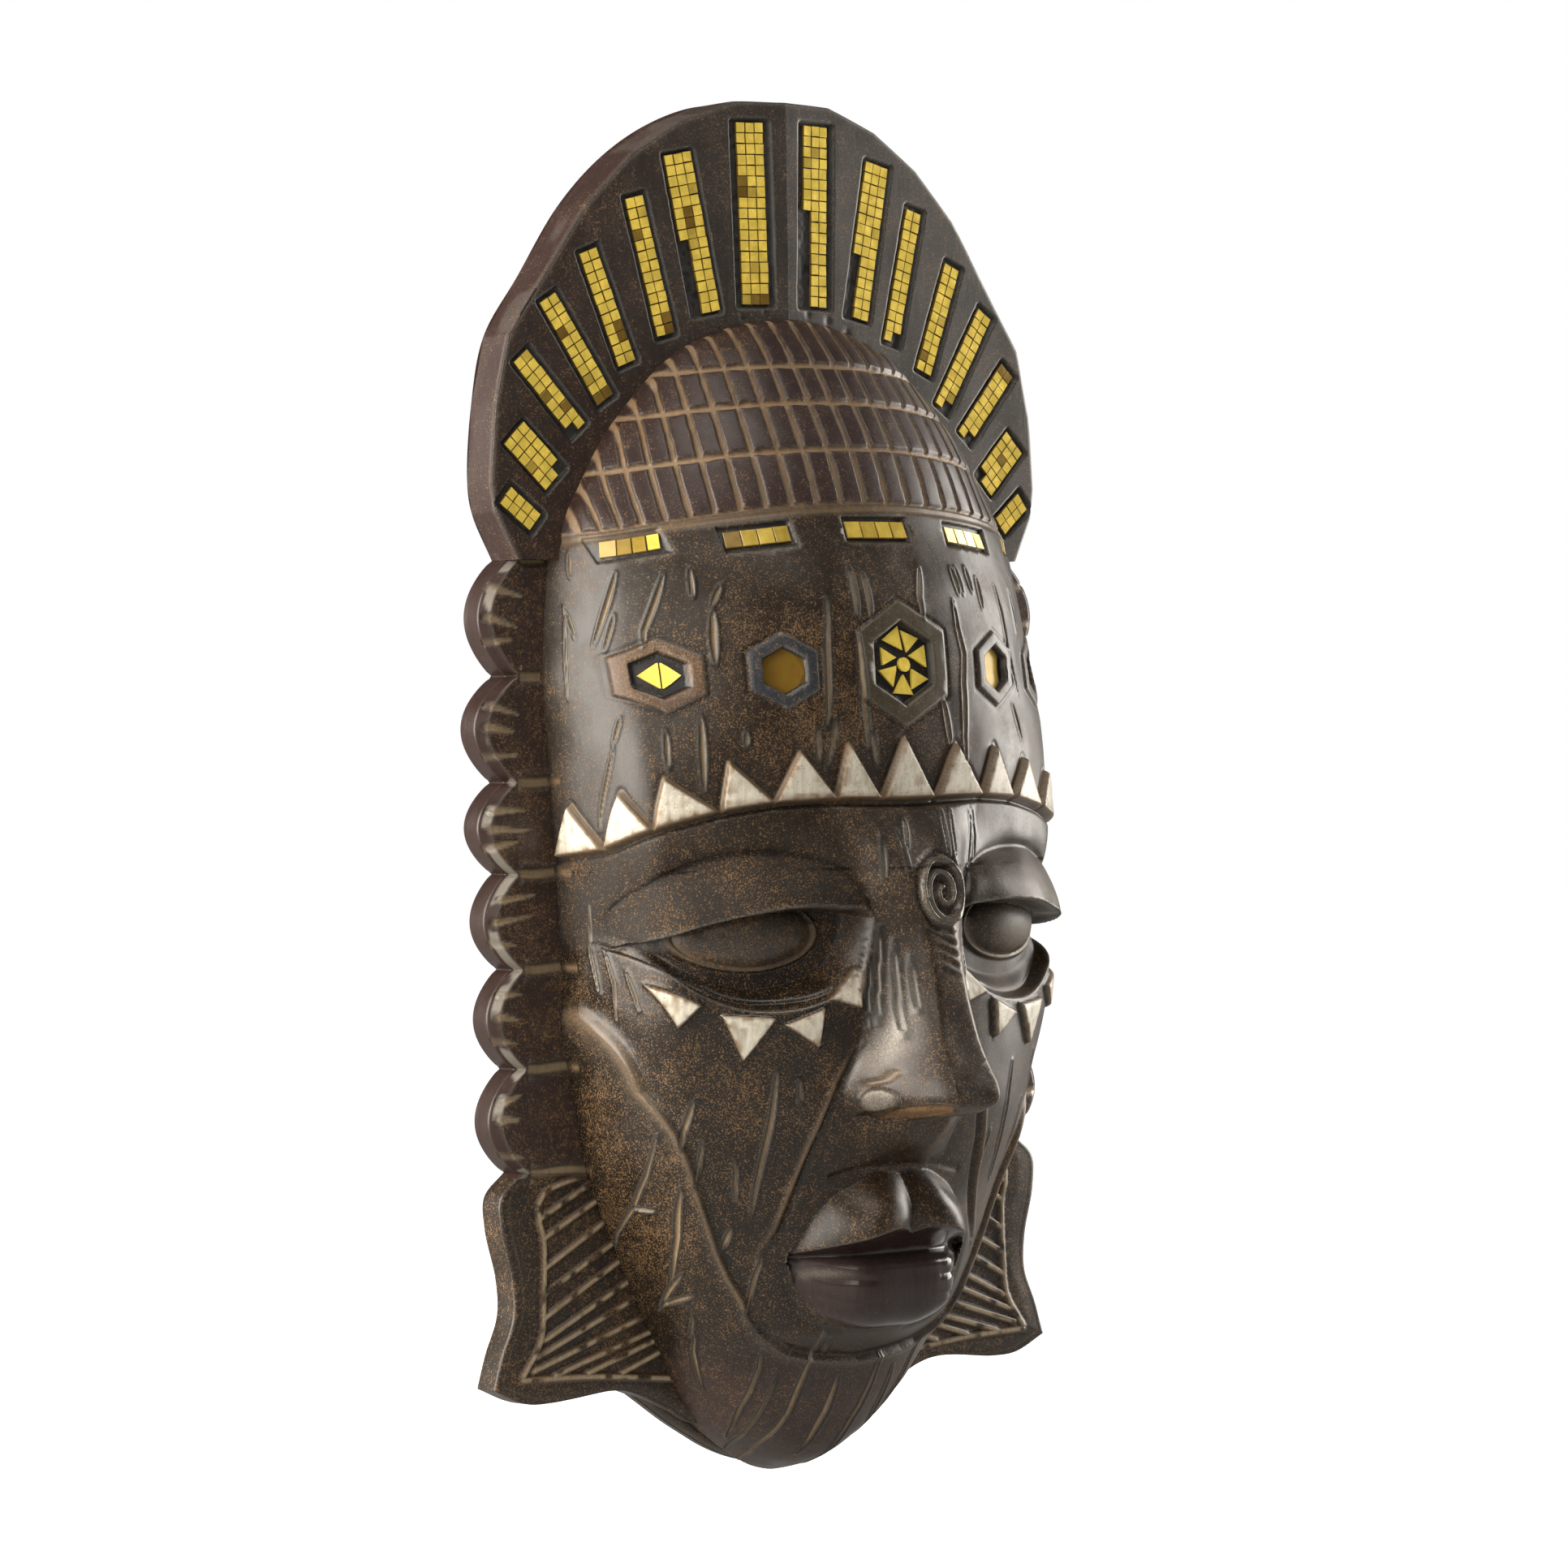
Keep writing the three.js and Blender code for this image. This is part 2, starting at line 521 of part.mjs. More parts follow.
// Everything cut into or raised from the front follows the front's own surface: a prism
// keeps what lies between the front and a copy of the front moved along Y.
const allOf = (solids) => solids.reduce((sum, solid) => sum.add(solid));
const moved = (solid, t) => solid.translate([0, -t, 0]);
const below = (front, depth, shapes) => shapes.subtract(moved(front, -depth));
const raised = (front, lift, shapes) => shapes.intersect(moved(front, lift));
const layer = (front, topDepth, floorDepth, shapes) =>
  shapes.intersect(moved(front, -topDepth)).subtract(moved(front, -floorDepth));

// The plate with the head on it, cut flat at the wall
function wholeFront() {
  const outline = plateOutline();
  const outer = CROWN_HALF_WIDTH + 10;
  const panelSpace = prism([[-outer, -10], [outer, -10], [outer, CROWN_FROM_H], [-outer, CROWN_FROM_H]]);
  const roof = bar([[-outer, -BACK_MARGIN], [-outer, CROWN_EDGE_T], [0, CROWN_RIDGE_T], [outer, CROWN_EDGE_T],
    [outer, -BACK_MARGIN]], CROWN_FROM_H, TOP_HEIGHT + 5);
  const formed = patches().reduce((sum, { solid, room }) => sum.subtract(room).add(solid), slab(plainDepth));
  const atWall = prism([[-outer, -10], [outer, -10], [outer, TOP_HEIGHT + 5], [-outer, TOP_HEIGHT + 5]], 0);
  return formed
    .intersect(prism(faceOutline()))
    .add(prism(outline, -BACK_MARGIN, PANEL_T, RIM_BEVEL).intersect(panelSpace))
    .add(prism(outline).intersect(roof))
    .intersect(atWall);
}

// Outlines of the parts of the pattern, as (x, h) points
function tiltedBox(x, h, wide, high, tilt) {
  const turn = THREE.MathUtils.degToRad(tilt);
  const corners = [[-wide, -high], [wide, -high], [wide, high], [-wide, high]];
  return corners.map(([a, b]) => [
    x + (a * Math.cos(turn) - b * Math.sin(turn)) / 2,
    h + (a * Math.sin(turn) + b * Math.cos(turn)) / 2,
  ]);
}

const hexagon = (x, h, halfFlats) => [0, 1, 2, 3, 4, 5].map((k) => {
  const turn = (k * Math.PI) / 3 + Math.PI / 6;
  const radius = halfFlats / Math.cos(Math.PI / 6);
  return [x + radius * Math.cos(turn), h + radius * Math.sin(turn)];
});

const circle = (x, h, radius, sides) => Array.from({ length: sides }, (_, k) => {
  const turn = (k * 2 * Math.PI) / sides;
  return [x + radius * Math.cos(turn), h + radius * Math.sin(turn)];
});

// Band of one width along a line of points
function band(points, wide) {
  const left = [];
  const right = [];
  points.forEach((point, i) => {
    const [ax, ah] = points[Math.max(i - 1, 0)];
    const [bx, bh] = points[Math.min(i + 1, points.length - 1)];
    const run = Math.hypot(bx - ax, bh - ah);
    const nx = (-(bh - ah) / run) * (wide / 2);
    const nh = ((bx - ax) / run) * (wide / 2);
    left.push([point[0] + nx, point[1] + nh]);
    right.push([point[0] - nx, point[1] - nh]);
  });
  return [...right, ...left.reverse()];
}

// A prism on an outline and one on its mirror image
const mirrored = (points) => [prism(points), prism(mirrorPoints(points))];

// Block of tiles, rows counted from the outer end of the bar
function tileBlock(bar, columns, side) {
  const turn = THREE.MathUtils.degToRad(bar.tilt);
  const along = [side * Math.cos(turn), Math.sin(turn)];
  const across = [Math.sin(turn), -side * Math.cos(turn)];
  const wide = columns.length * TILE;
  const long = Math.max(...columns) * TILE;
  const local = [[0, 0], [wide, 0]];
  for (let k = columns.length - 1; k >= 0; k -= 1) {
    local.push([(k + 1) * TILE, -columns[k] * TILE], [k * TILE, -columns[k] * TILE]);
  }
  return local.map(([a, b]) => {
    const u = a - wide / 2;
    const v = b + long / 2;
    return [side * bar.x + u * across[0] + v * along[0], bar.h + u * across[1] + v * along[1]];
  }).reverse();
}

function barRecess(bar, side) {
  return tiltedBox(side * bar.x, bar.h, bar.long, bar.wide, side > 0 ? bar.tilt : 180 - bar.tilt);
}

// Cap grooves: level rings and meridians, cut a little past the rim of the cap
function capLines() {
  const lines = CAP_LINES_H.map((h) => [-1, -0.5, 0, 0.5, 1].map((s) => {
    const x = s * (along(FACE_EDGE, h - CAP_BEND * CAP_RADIUS ** 2) + 3);
    return [x, h - CAP_BEND * x * x];
  }));
  for (let k = -CAP_MERIDIANS + 1; k < CAP_MERIDIANS; k += 1) {
    const at = CAP_RADIUS * Math.sin(k * CAP_TURN);
    const rim = Math.sqrt(Math.max(1 - (at / CAP_RADIUS) ** 2, 0));
    const foot = CAP_LINES_H[0] - CAP_BEND * at * at;
    const head = foot + (FACE_EDGE[FACE_EDGE.length - 1][0] - foot) * rim * 0.97;
    lines.push([0, 1].map((s) => [at * (1 - 0.16 * s * s * rim), mix(foot, head, s)]));
  }
  return lines;
}

// Frames and fields of the five hexagons
const HEXAGONS = [WHEEL, GEM, RHOMBUS, { ...GEM, x: -GEM.x }, { ...RHOMBUS, x: -RHOMBUS.x }];

// Outline of one rhombus half, pointing to the left or to the right
const rhombusHalf = (x, side) => [[side * RHOMBUS.seam, -RHOMBUS.halfHigh], [side * RHOMBUS.halfWide, 0],
  [side * RHOMBUS.seam, RHOMBUS.halfHigh]].map(([a, b]) => [x + a, RHOMBUS.h + b]);

// Everything that stands up from the face
function raisedForms(front, faceColumn) {
  const jaw = [...JAW_LINE, ...mirrorPoints(JAW_LINE), [-180, 0], [-180, -20], [180, -20], [180, 0]];
  const teeth = TEETH.flatMap(([from, to, peak, top]) => {
    const feet = [from, to].map((x) => [x, along(TEETH_BASE_H, Math.abs(x))]);
    const tooth = [...feet, [peak, top]];
    return from < 0 ? [prism(tooth)] : mirrored(tooth);
  });
  const frames = HEXAGONS.map(({ x, h, frame }) => prism(hexagon(x, h, frame)));
  const curl = prism(circle(CURL.x, CURL.h, CURL.outer, 12))
    .subtract(prism(circle(CURL.x, CURL.h, CURL.outer - CURL.wide, 12)))
    .add(prism(circle(CURL.x, CURL.h, CURL.inner, 7)));
  return raised(front, JAW_LIFT, prism(jaw).intersect(faceColumn))
    .add(raised(front, TOOTH_LIFT, allOf(teeth)))
    .add(raised(front, TRIANGLE_LIFT, allOf(EYE_TRIANGLES.flatMap(mirrored))))
    .add(raised(front, FRAME_LIFT, allOf(frames)))
    .add(raised(front, CURL.lift, curl))
    .add(allOf(SIDE_TEETH.flatMap(sideTooth)));
}

// A tooth on the side wall of the face, drawn in (t, h) and run out along x
function sideTooth([front, back, peak, top]) {
  const profile = [[back, along(SIDE_TEETH_BASE_H, back)], [front, along(SIDE_TEETH_BASE_H, front)], [peak, top]];
  const shape = new THREE.Shape(profile.map(([t, h]) => new THREE.Vector2(-t, h - HANG_HEIGHT)));
  const geometry = new THREE.ExtrudeGeometry(shape, { depth: TOOTH_LIFT + 8, bevelEnabled: false });
  geometry.rotateX(Math.PI / 2);
  geometry.rotateZ(Math.PI / 2);
  const right = geometry.clone().translate(FACE_SIDE_X - 8, 0, 0);
  const left = geometry.clone().translate(-FACE_SIDE_X - TOOTH_LIFT, 0, 0);
  return [toSolid(right), toSolid(left)];
}

// Everything that is cut into the front
function grooves(front) {
  const aroundFace = prism(faceOutline(0.5));
  const cap = capLines().map((line) => prism(band(line, CAP_GROOVE.wide)));
  const spokes = NOTCHES.flatMap(([x, h]) => mirrored(tiltedBox(x - 18, h, 22, SPOKE.wide, 0)));
  const fans = [...FAN_RIBS, FAN_LINE, FAN_FOOT_LINE].flatMap((line) => mirrored(band(line, FAN_RIB.wide)));
  return below(front, CAP_GROOVE.deep, allOf(cap))
    .add(below(front, SPOKE.deep, allOf(spokes).subtract(aroundFace)))
    .add(below(front, FAN_RIB.deep, allOf(fans).subtract(aroundFace)));
}

function recesses(front) {
  const bars = BARS.flatMap((item) => [barRecess(item, -1), barRecess(item, 1)]);
  const strips = STRIPS.map(({ x, h, wide, high, tilt }) => (
    tiltedBox(x, h, wide + STRIP_MARGIN, high + STRIP_MARGIN, tilt)
  ));
  const fields = HEXAGONS.map(({ x, h, field }) => hexagon(x, h, field));
  const sunk = [...strips, ...fields].map((outline) => prism(outline));
  return below(front, BAR_RECESS, allOf(bars.map((outline) => prism(outline))))
    .add(below(moved(front, FRAME_LIFT), STRIP_RECESS + FRAME_LIFT, allOf(sunk)));
}

// Scoop of the hollow, and the blind hole for the nail
function backCuts() {
  const scoop = new THREE.SphereGeometry(1, 16, 8);
  scoop.scale(HOLLOW.halfWide, HOLLOW.deep, HOLLOW.halfHigh);
  scoop.translate(0, 0, HOLLOW.h - HANG_HEIGHT);
  const hole = new THREE.CylinderGeometry(HANG_HOLE.radius, HANG_HOLE.radius, HANG_HOLE.deep * 2, 12);
  hole.translate(0, 0, HANG_HOLE.up);
  return toSolid(scoop).add(toSolid(hole));
}

// Inlays: the tile blocks of the bars, the strips, the wheel, the gems and the rhombus halves
function inlays(front) {
  const steep = BAR_RECESS - STEEP_GAP;
  const made = {};
  BARS.forEach((item, k) => {
    for (const [hand, side] of [['left', -1], ['right', 1]]) {
      const block = prism(tileBlock(item, item[hand], side));
      made[`crown_tiles_${hand}_${k + 1}`] = layer(front, TILE_SUNK, BAR_RECESS - GAP, block);
    }
  });
  for (const { name, x, h, wide, high, tilt } of STRIPS) {
    made[`forehead_tiles_${name}`] = layer(front, STONE_SUNK, steep, prism(tiltedBox(x, h, wide, high, tilt)));
  }
  WHEEL_TILES.forEach((tile, k) => {
    made[`wheel_tile_${k + 1}`] = layer(front, STONE_SUNK, steep, prism(tile));
  });
  made.wheel_hub = layer(front, STONE_SUNK, steep, prism(circle(WHEEL_HUB.x, WHEEL_HUB.h, WHEEL_HUB.radius, 12)));
  for (const [hand, side] of [['left', -1], ['right', 1]]) {
    made[`gem_${hand}`] = layer(front, STONE_SUNK, steep, prism(hexagon(side * GEM.x, GEM.h, GEM.stone)));
    for (const [place, way] of [['outer', side], ['inner', -side]]) {
      const half = rhombusHalf(side * RHOMBUS.x, way);
      made[`rhombus_${hand}_${place}`] = layer(front, STONE_SUNK, steep, prism(way > 0 ? half : half.reverse()));
    }
  }
  return made;
}

// The model
const front = wholeFront();
const faceColumn = prism(faceOutline());
const mask = front
  .add(raisedForms(front, faceColumn))
  .subtract(grooves(front))
  .subtract(recesses(front))
  .subtract(backCuts());

const group = new THREE.Group();
const add = (name, solid, material) => {
  const mesh = new THREE.Mesh(toGeometry(solid), material);
  mesh.name = name;
  group.add(mesh);
};
add('mask_body', mask, new THREE.MeshStandardMaterial({ color: 0x3b342d, roughness: 0.42, metalness: 0.15 }));
const gold = new THREE.MeshStandardMaterial({ color: 0xc99a34, roughness: 0.12, metalness: 0.9 });
Object.entries(inlays(front)).forEach(([name, solid]) => add(name, solid, gold.clone()));

export default group;
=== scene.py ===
# Carved wooden wall mask: the relief, its paint and the separate mirror tiles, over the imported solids.
# The tables are in millimetres. x is to the right, h is height above the base line under the chin,
# and t is depth in front of the wall, so a point is at (x, -t, h - 625) mm in the row frame.

import itertools
import math
import random

import bmesh
import bpy
import numpy as np
from mathutils import Matrix, Vector


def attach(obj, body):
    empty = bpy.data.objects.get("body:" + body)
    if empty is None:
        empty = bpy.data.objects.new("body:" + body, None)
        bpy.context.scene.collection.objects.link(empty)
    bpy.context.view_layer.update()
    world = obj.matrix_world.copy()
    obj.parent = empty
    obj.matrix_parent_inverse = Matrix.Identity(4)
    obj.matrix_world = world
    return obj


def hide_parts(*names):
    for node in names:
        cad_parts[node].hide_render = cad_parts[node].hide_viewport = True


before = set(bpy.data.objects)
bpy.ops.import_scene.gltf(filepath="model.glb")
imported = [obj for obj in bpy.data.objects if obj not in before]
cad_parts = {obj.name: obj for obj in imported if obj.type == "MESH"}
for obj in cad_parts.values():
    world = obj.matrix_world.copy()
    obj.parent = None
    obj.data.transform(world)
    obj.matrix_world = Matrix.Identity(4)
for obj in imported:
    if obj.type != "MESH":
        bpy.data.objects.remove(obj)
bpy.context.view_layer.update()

MM = 0.001
BASE_H = 625.0

# Plate outline, right half
CROWN_OUTLINE = [(0, 695), (30, 694), (62, 683), (91, 665), (117, 640), (142, 604.5), (163, 574), (171, 540),
                 (174, 502), (171.5, 487), (160, 464)]
NOTCHES = [(160, 464), (161, 407), (163, 355), (163, 310), (161, 263), (160, 214), (159, 162.5)]
BULGES = [177.5, 180.5, 179.5, 177, 176, 176]
FAN_SIDE = [(159, 162.5), (171, 151), (171, 135), (165, 110), (164.5, 92), (172, 73), (177, 57)]
FAN_FOOT = [(177, 57), (158, 49), (143, 48), (105, 51), (92, 48.5), (72, 39), (58, 31), (46, 30)]
CHIN_EDGE = [(92, 50), (80, 41.5), (66, 31.6), (53, 23.5), (40, 16), (26, 10), (13, 6.5), (0, 5)]
PANEL_T = 17.0
ROOF_T, ROOF_FALL, ROOF_HALF = 36.0, 16.0, 185.0
BEVEL = 5.0

# Face: its outline on the plate, and half width and depth of its sections
FACE_EDGE = [(4, 0), (6, 12), (10, 22), (22, 41), (36, 57), (61, 72), (90, 87), (125, 104), (160, 118),
             (190, 124), (215, 129), (270, 134), (300, 136), (347, 139), (380, 141.3), (410, 143), (460, 140),
             (485, 134), (500, 126.5), (514, 119), (527.5, 110), (539, 100), (550, 90), (560, 79),
             (569.5, 66), (575, 54), (582, 34), (586, 0)]
CENTRE = [(-5, 2), (0, 13), (5, 27), (11, 38), (19, 46), (37, 59), (50, 68), (62, 75), (70, 81), (80, 94),
          (90, 101), (104, 105), (125, 108), (150, 112), (165, 117), (187, 125), (210, 128), (235, 130),
          (298, 131), (320, 127), (343, 122), (360, 123.5), (381, 126), (410, 125.5), (439, 121), (478, 103),
          (505, 93), (530, 80), (550, 67), (560, 60), (570, 52), (582, 41), (590, 33), (600, 20)]
WIDE = [(-5, 8), (0, 26), (5, 33), (11, 40), (19, 48), (37, 64), (54, 77), (83, 93), (103, 105), (149, 129),
        (169, 138), (190, 143), (210, 150), (235, 160), (270, 165), (365, 165), (390, 156), (413, 150),
        (440, 146), (478, 142), (500, 130.5), (530, 114), (550, 99), (560, 90), (570, 79), (575, 69),
        (582, 54), (590, 38), (600, 20)]

# Nose
NOSE_RIDGE = [(160, 113), (170, 124), (178, 133), (184, 139), (187, 145), (189.5, 163), (193, 172),
              (198, 176), (204, 175), (212, 170), (224, 164), (240, 159), (261, 154), (278, 150),
              (298, 146.5), (313, 142.5), (328, 133), (343, 122)]
NOSE_TOP = [(160, 8), (187, 12), (204, 13), (224, 11), (250, 8.5), (278, 8.5), (298, 12), (313, 15),
            (343, 24)]
NOSE_FOOT = [(160, 26), (184, 33), (195, 41), (206, 41), (224, 35), (240, 32), (261, 30), (280, 30),
             (298, 33), (313, 38), (343, 52)]

# Eyes
BROW_H = 343
CREASE = [(28, 292), (31, 299), (35, 305), (48.5, 312.7), (70, 317.7), (89, 317.8), (106.5, 314), (118, 309),
          (125, 303.9), (131, 294), (134, 284)]
CREASE_T = [(28, 128), (35, 125), (48.5, 119.5), (70, 110), (89, 104), (106.5, 93.7), (125, 80), (134, 70)]
LID = [(26, 286), (31, 289.3), (45, 291.5), (67.6, 292.7), (88, 290.5), (103, 286.9), (121.3, 280.9),
       (130, 275.5), (137, 270)]
LID_T = [(26, 133), (31, 133), (48, 132), (67.6, 130), (85, 124.5), (103, 113.8), (121.3, 99), (130, 85),
         (137, 66)]
LID_END = [(131, 292), (132.5, 286), (131.5, 279), (128.5, 273.5)]
SOCKET = [(28, 290), (30, 276), (34, 261.3), (42, 254), (53, 249), (73.4, 245), (96.3, 247.8), (113, 257),
          (125, 268), (133, 276)]
SOCKET_T = [(28, 124), (34, 122), (53, 119.5), (73.4, 108.5), (96.3, 97), (113, 84), (133, 68)]
EYE_PLANE = [(28, 116), (50, 110), (82, 101), (111, 86), (134, 62)]
# Eyeball: middle, half width and half height
EYE = (82, 279, 33, 16.5)

# Mouth
LIP_TOP = [(0, 158.5), (8, 160), (15, 159.8), (27, 155), (40, 146), (50, 132), (55, 121.5)]
LIP_EDGE = [(0, 129.5), (7, 132.3), (18, 132), (30, 128.5), (42, 124.8), (55, 120.5)]
LIP_EDGE_T = [(0, 123), (8, 127.5), (18, 130), (28, 128), (36, 121.5), (45, 109), (55, 90.5)]
PARTING_T = [(0, 113.5), (20, 113), (36, 106.5), (45, 98), (55, 88.5)]
LOWER_T = [(0, 121), (20, 120.5), (30, 117.5), (36, 112), (45, 101), (52, 91.5), (55, 88)]
LIP_LOW = [(0, 80.5), (15, 81), (28, 84.5), (40, 91), (50, 103), (55, 116)]
PARTING_H = 119.0
MOUTH_HALF = 55.5
MOUTH_REACH = 56

# Crown bars: middle, tilt, recess size, tiles down each column left and right
TILE_PITCH = 5.4
TILE_SIZE = 5.12
BARS = [
    (20, 638, 88.5, 95, 24, (17, 17, 17), (8, 17, 17)),
    (56, 627, 78.5, 84, 20, (8, 15, 15), (9, 15, 15)),
    (81, 610, 75.5, 75, 15, (13, 13), (13, 12)),
    (106, 589, 68.5, 64, 15, (11, 11), (11, 11)),
    (124, 568, 57, 64, 15, (11, 11), (11, 10)),
    (140, 546, 48, 52, 15, (8, 9), (9, 8)),
    (149, 515, 44.5, 36, 19, (6, 6, 5), (5, 6, 6)),
    (157.5, 489, 39, 27, 15, (4, 4), (4, 4)),
]
# (side, bar, column, row) of the dark tiles
DARK_TILES = {(-1, 0, 0, 5), (-1, 0, 0, 6), (-1, 0, 1, 16), (-1, 0, 2, 16), (-1, 1, 1, 5), (-1, 1, 1, 6),
              (-1, 2, 0, 3), (-1, 2, 1, 11), (-1, 2, 1, 12), (-1, 3, 1, 7), (-1, 3, 1, 8), (-1, 4, 0, 3),
              (-1, 4, 0, 10), (-1, 4, 1, 10), (-1, 5, 0, 4), (-1, 5, 1, 6), (1, 5, 1, 0), (1, 5, 0, 0),
              (1, 3, 0, 9), (1, 6, 1, 2)}

# Forehead strips: node, middle, tilt, recess width, shade of each tile (0 bright to 1 dark), tile size
STRIPS = [
    ("forehead_tiles_far_left", -119, 470, 11, 25, (0.75, 0.8, 0.7, 0.0), 5.0, 8.2),
    ("forehead_tiles_left", -66, 473.5, 6, 36, (0.9, 0.55, 0.45, 0.6), 7.9, 8.6),
    ("forehead_tiles_middle", 1, 477, 0, 41, (0.4, 0.5, 0.3, 0.45), 9.2, 9.1),
    ("forehead_tiles_right", 66, 473.5, -6, 36, (0.1, 0.0, 0.05, 0.1), 7.9, 8.6),
    ("forehead_tiles_far_right", 120, 470, -11, 25, (0.1, 0.0, 0.0, 0.1), 5.3, 8.6),
]
STRIP_HIGH = 12.5

# Hexagons: middle, half width over the flats of the frame and of the field, frame colour
HEXAGONS = [
    (-1.2, 410.5, 27, 18, "olive"),
    (-66.5, 407.5, 16, 9.9, "slate"),
    (66.5, 407.5, 16, 9.9, "grey"),
    (-117, 406, 15.5, 10, "rust"),
    (117, 406, 15.5, 10, "grey"),
]

# Teeth over the brows: left, right and tip by arc length from the middle, and the height of the tip
TEETH = [(-202.6, -167.0, -186.0, 343.0), (-165.9, -134.5, -151.5, 349.0), (-133.7, -102.6, -128.4, 355.7),
         (-100.0, -74.0, -97.0, 362.8), (-73.0, -40.6, -61.0, 367.5), (-39.9, -14.9, -35.0, 371.0),
         (-13.4, 18.5, -2.2, 373.4), (20.7, 53.9, 32.5, 370.0), (55.0, 81.5, 64.0, 368.5),
         (83.0, 113.5, 96.0, 362.0), (114.5, 146.0, 129.0, 355.0), (147.0, 178.5, 161.5, 346.0),
         (179.5, 210.0, 194.5, 341.0)]
TOOTH_ROOM = (300, 380)
TOOTH_BASE = [(0, 343.5), (50, 344.5), (82, 342.5), (110, 337.5), (138, 330), (160, 323), (200, 318),
              (235, 315)]
EYE_TRIANGLES = [[(126, 256), (109, 246), (117, 235)], [(101, 241), (77, 239), (90, 218)],
                 [(73, 235.5), (53.5, 243), (55.5, 223.5)], [(50, 247), (33.5, 262), (33.5, 242)]]

# Cap
CAP_RINGS = [490, 518, 542, 561]
CAP_BEND = 0.00081
CAP_TOP = 586
CAP_HALF = 139
CAP_STEP = 0.104

# Side panels and fans
FAN_RIBS = [[(149, 140), (119, 155)], [(147.5, 130), (114, 147)], [(147.5, 115), (108, 137)],
            [(147.5, 102.5), (103, 126)], [(147.5, 91), (97, 118)], [(147.5, 80), (92, 107)],
            [(152, 72), (88, 98)], [(155, 65), (83, 88)], [(142, 62), (79, 80)], [(122, 61.5), (75, 76)],
            [(101, 60), (72, 70)]]
FAN_LINE = [(122, 160), (148, 151), (150, 140), (147.5, 130), (148, 100), (150, 80), (161, 63)]
FAN_FOOT_LINE = [(161, 61), (120, 59.5), (66, 54)]

# Upper edge of the jaw band, and the curl on the root of the nose: middle and radius
JAW = [(0, 64), (20, 65.8), (30, 67.4), (40, 70), (50, 75.5), (60, 83), (66, 90.5), (70, 99), (77.5, 110.5),
       (83.8, 123), (90, 138), (98.8, 158), (110, 183), (120, 203), (126, 223), (130.6, 238), (134, 252)]
CURL = (3.5, 298, 13.5)
CURL_STRETCH = 1.25

# Fine lines of the face, right half: folds beside nose and mouth, sheen and notch of the nose's wing
NOSE_FOLD = [(35, 220.5), (42.5, 205.5), (48, 190), (52, 175), (54.5, 160), (57, 146), (60.5, 132),
             (66, 120.5)]
MOUTH_FOLD = [(58, 120.5), (55, 105.5), (46, 88), (35, 83), (20, 79.5)]
LIP_CREASE = [(40, 158), (30, 160.5), (18, 163)]
CORNER_FOLDS = [[(49, 111.5), (40, 108.5), (22, 107)], [(46, 101), (34, 96.5), (14, 95.5)]]
NOSE_SHEEN = [(17, 246), (25.5, 225), (37, 208)]
WING_NOTCH = [(34.5, 205.5), (30.5, 207), (27.5, 211)]

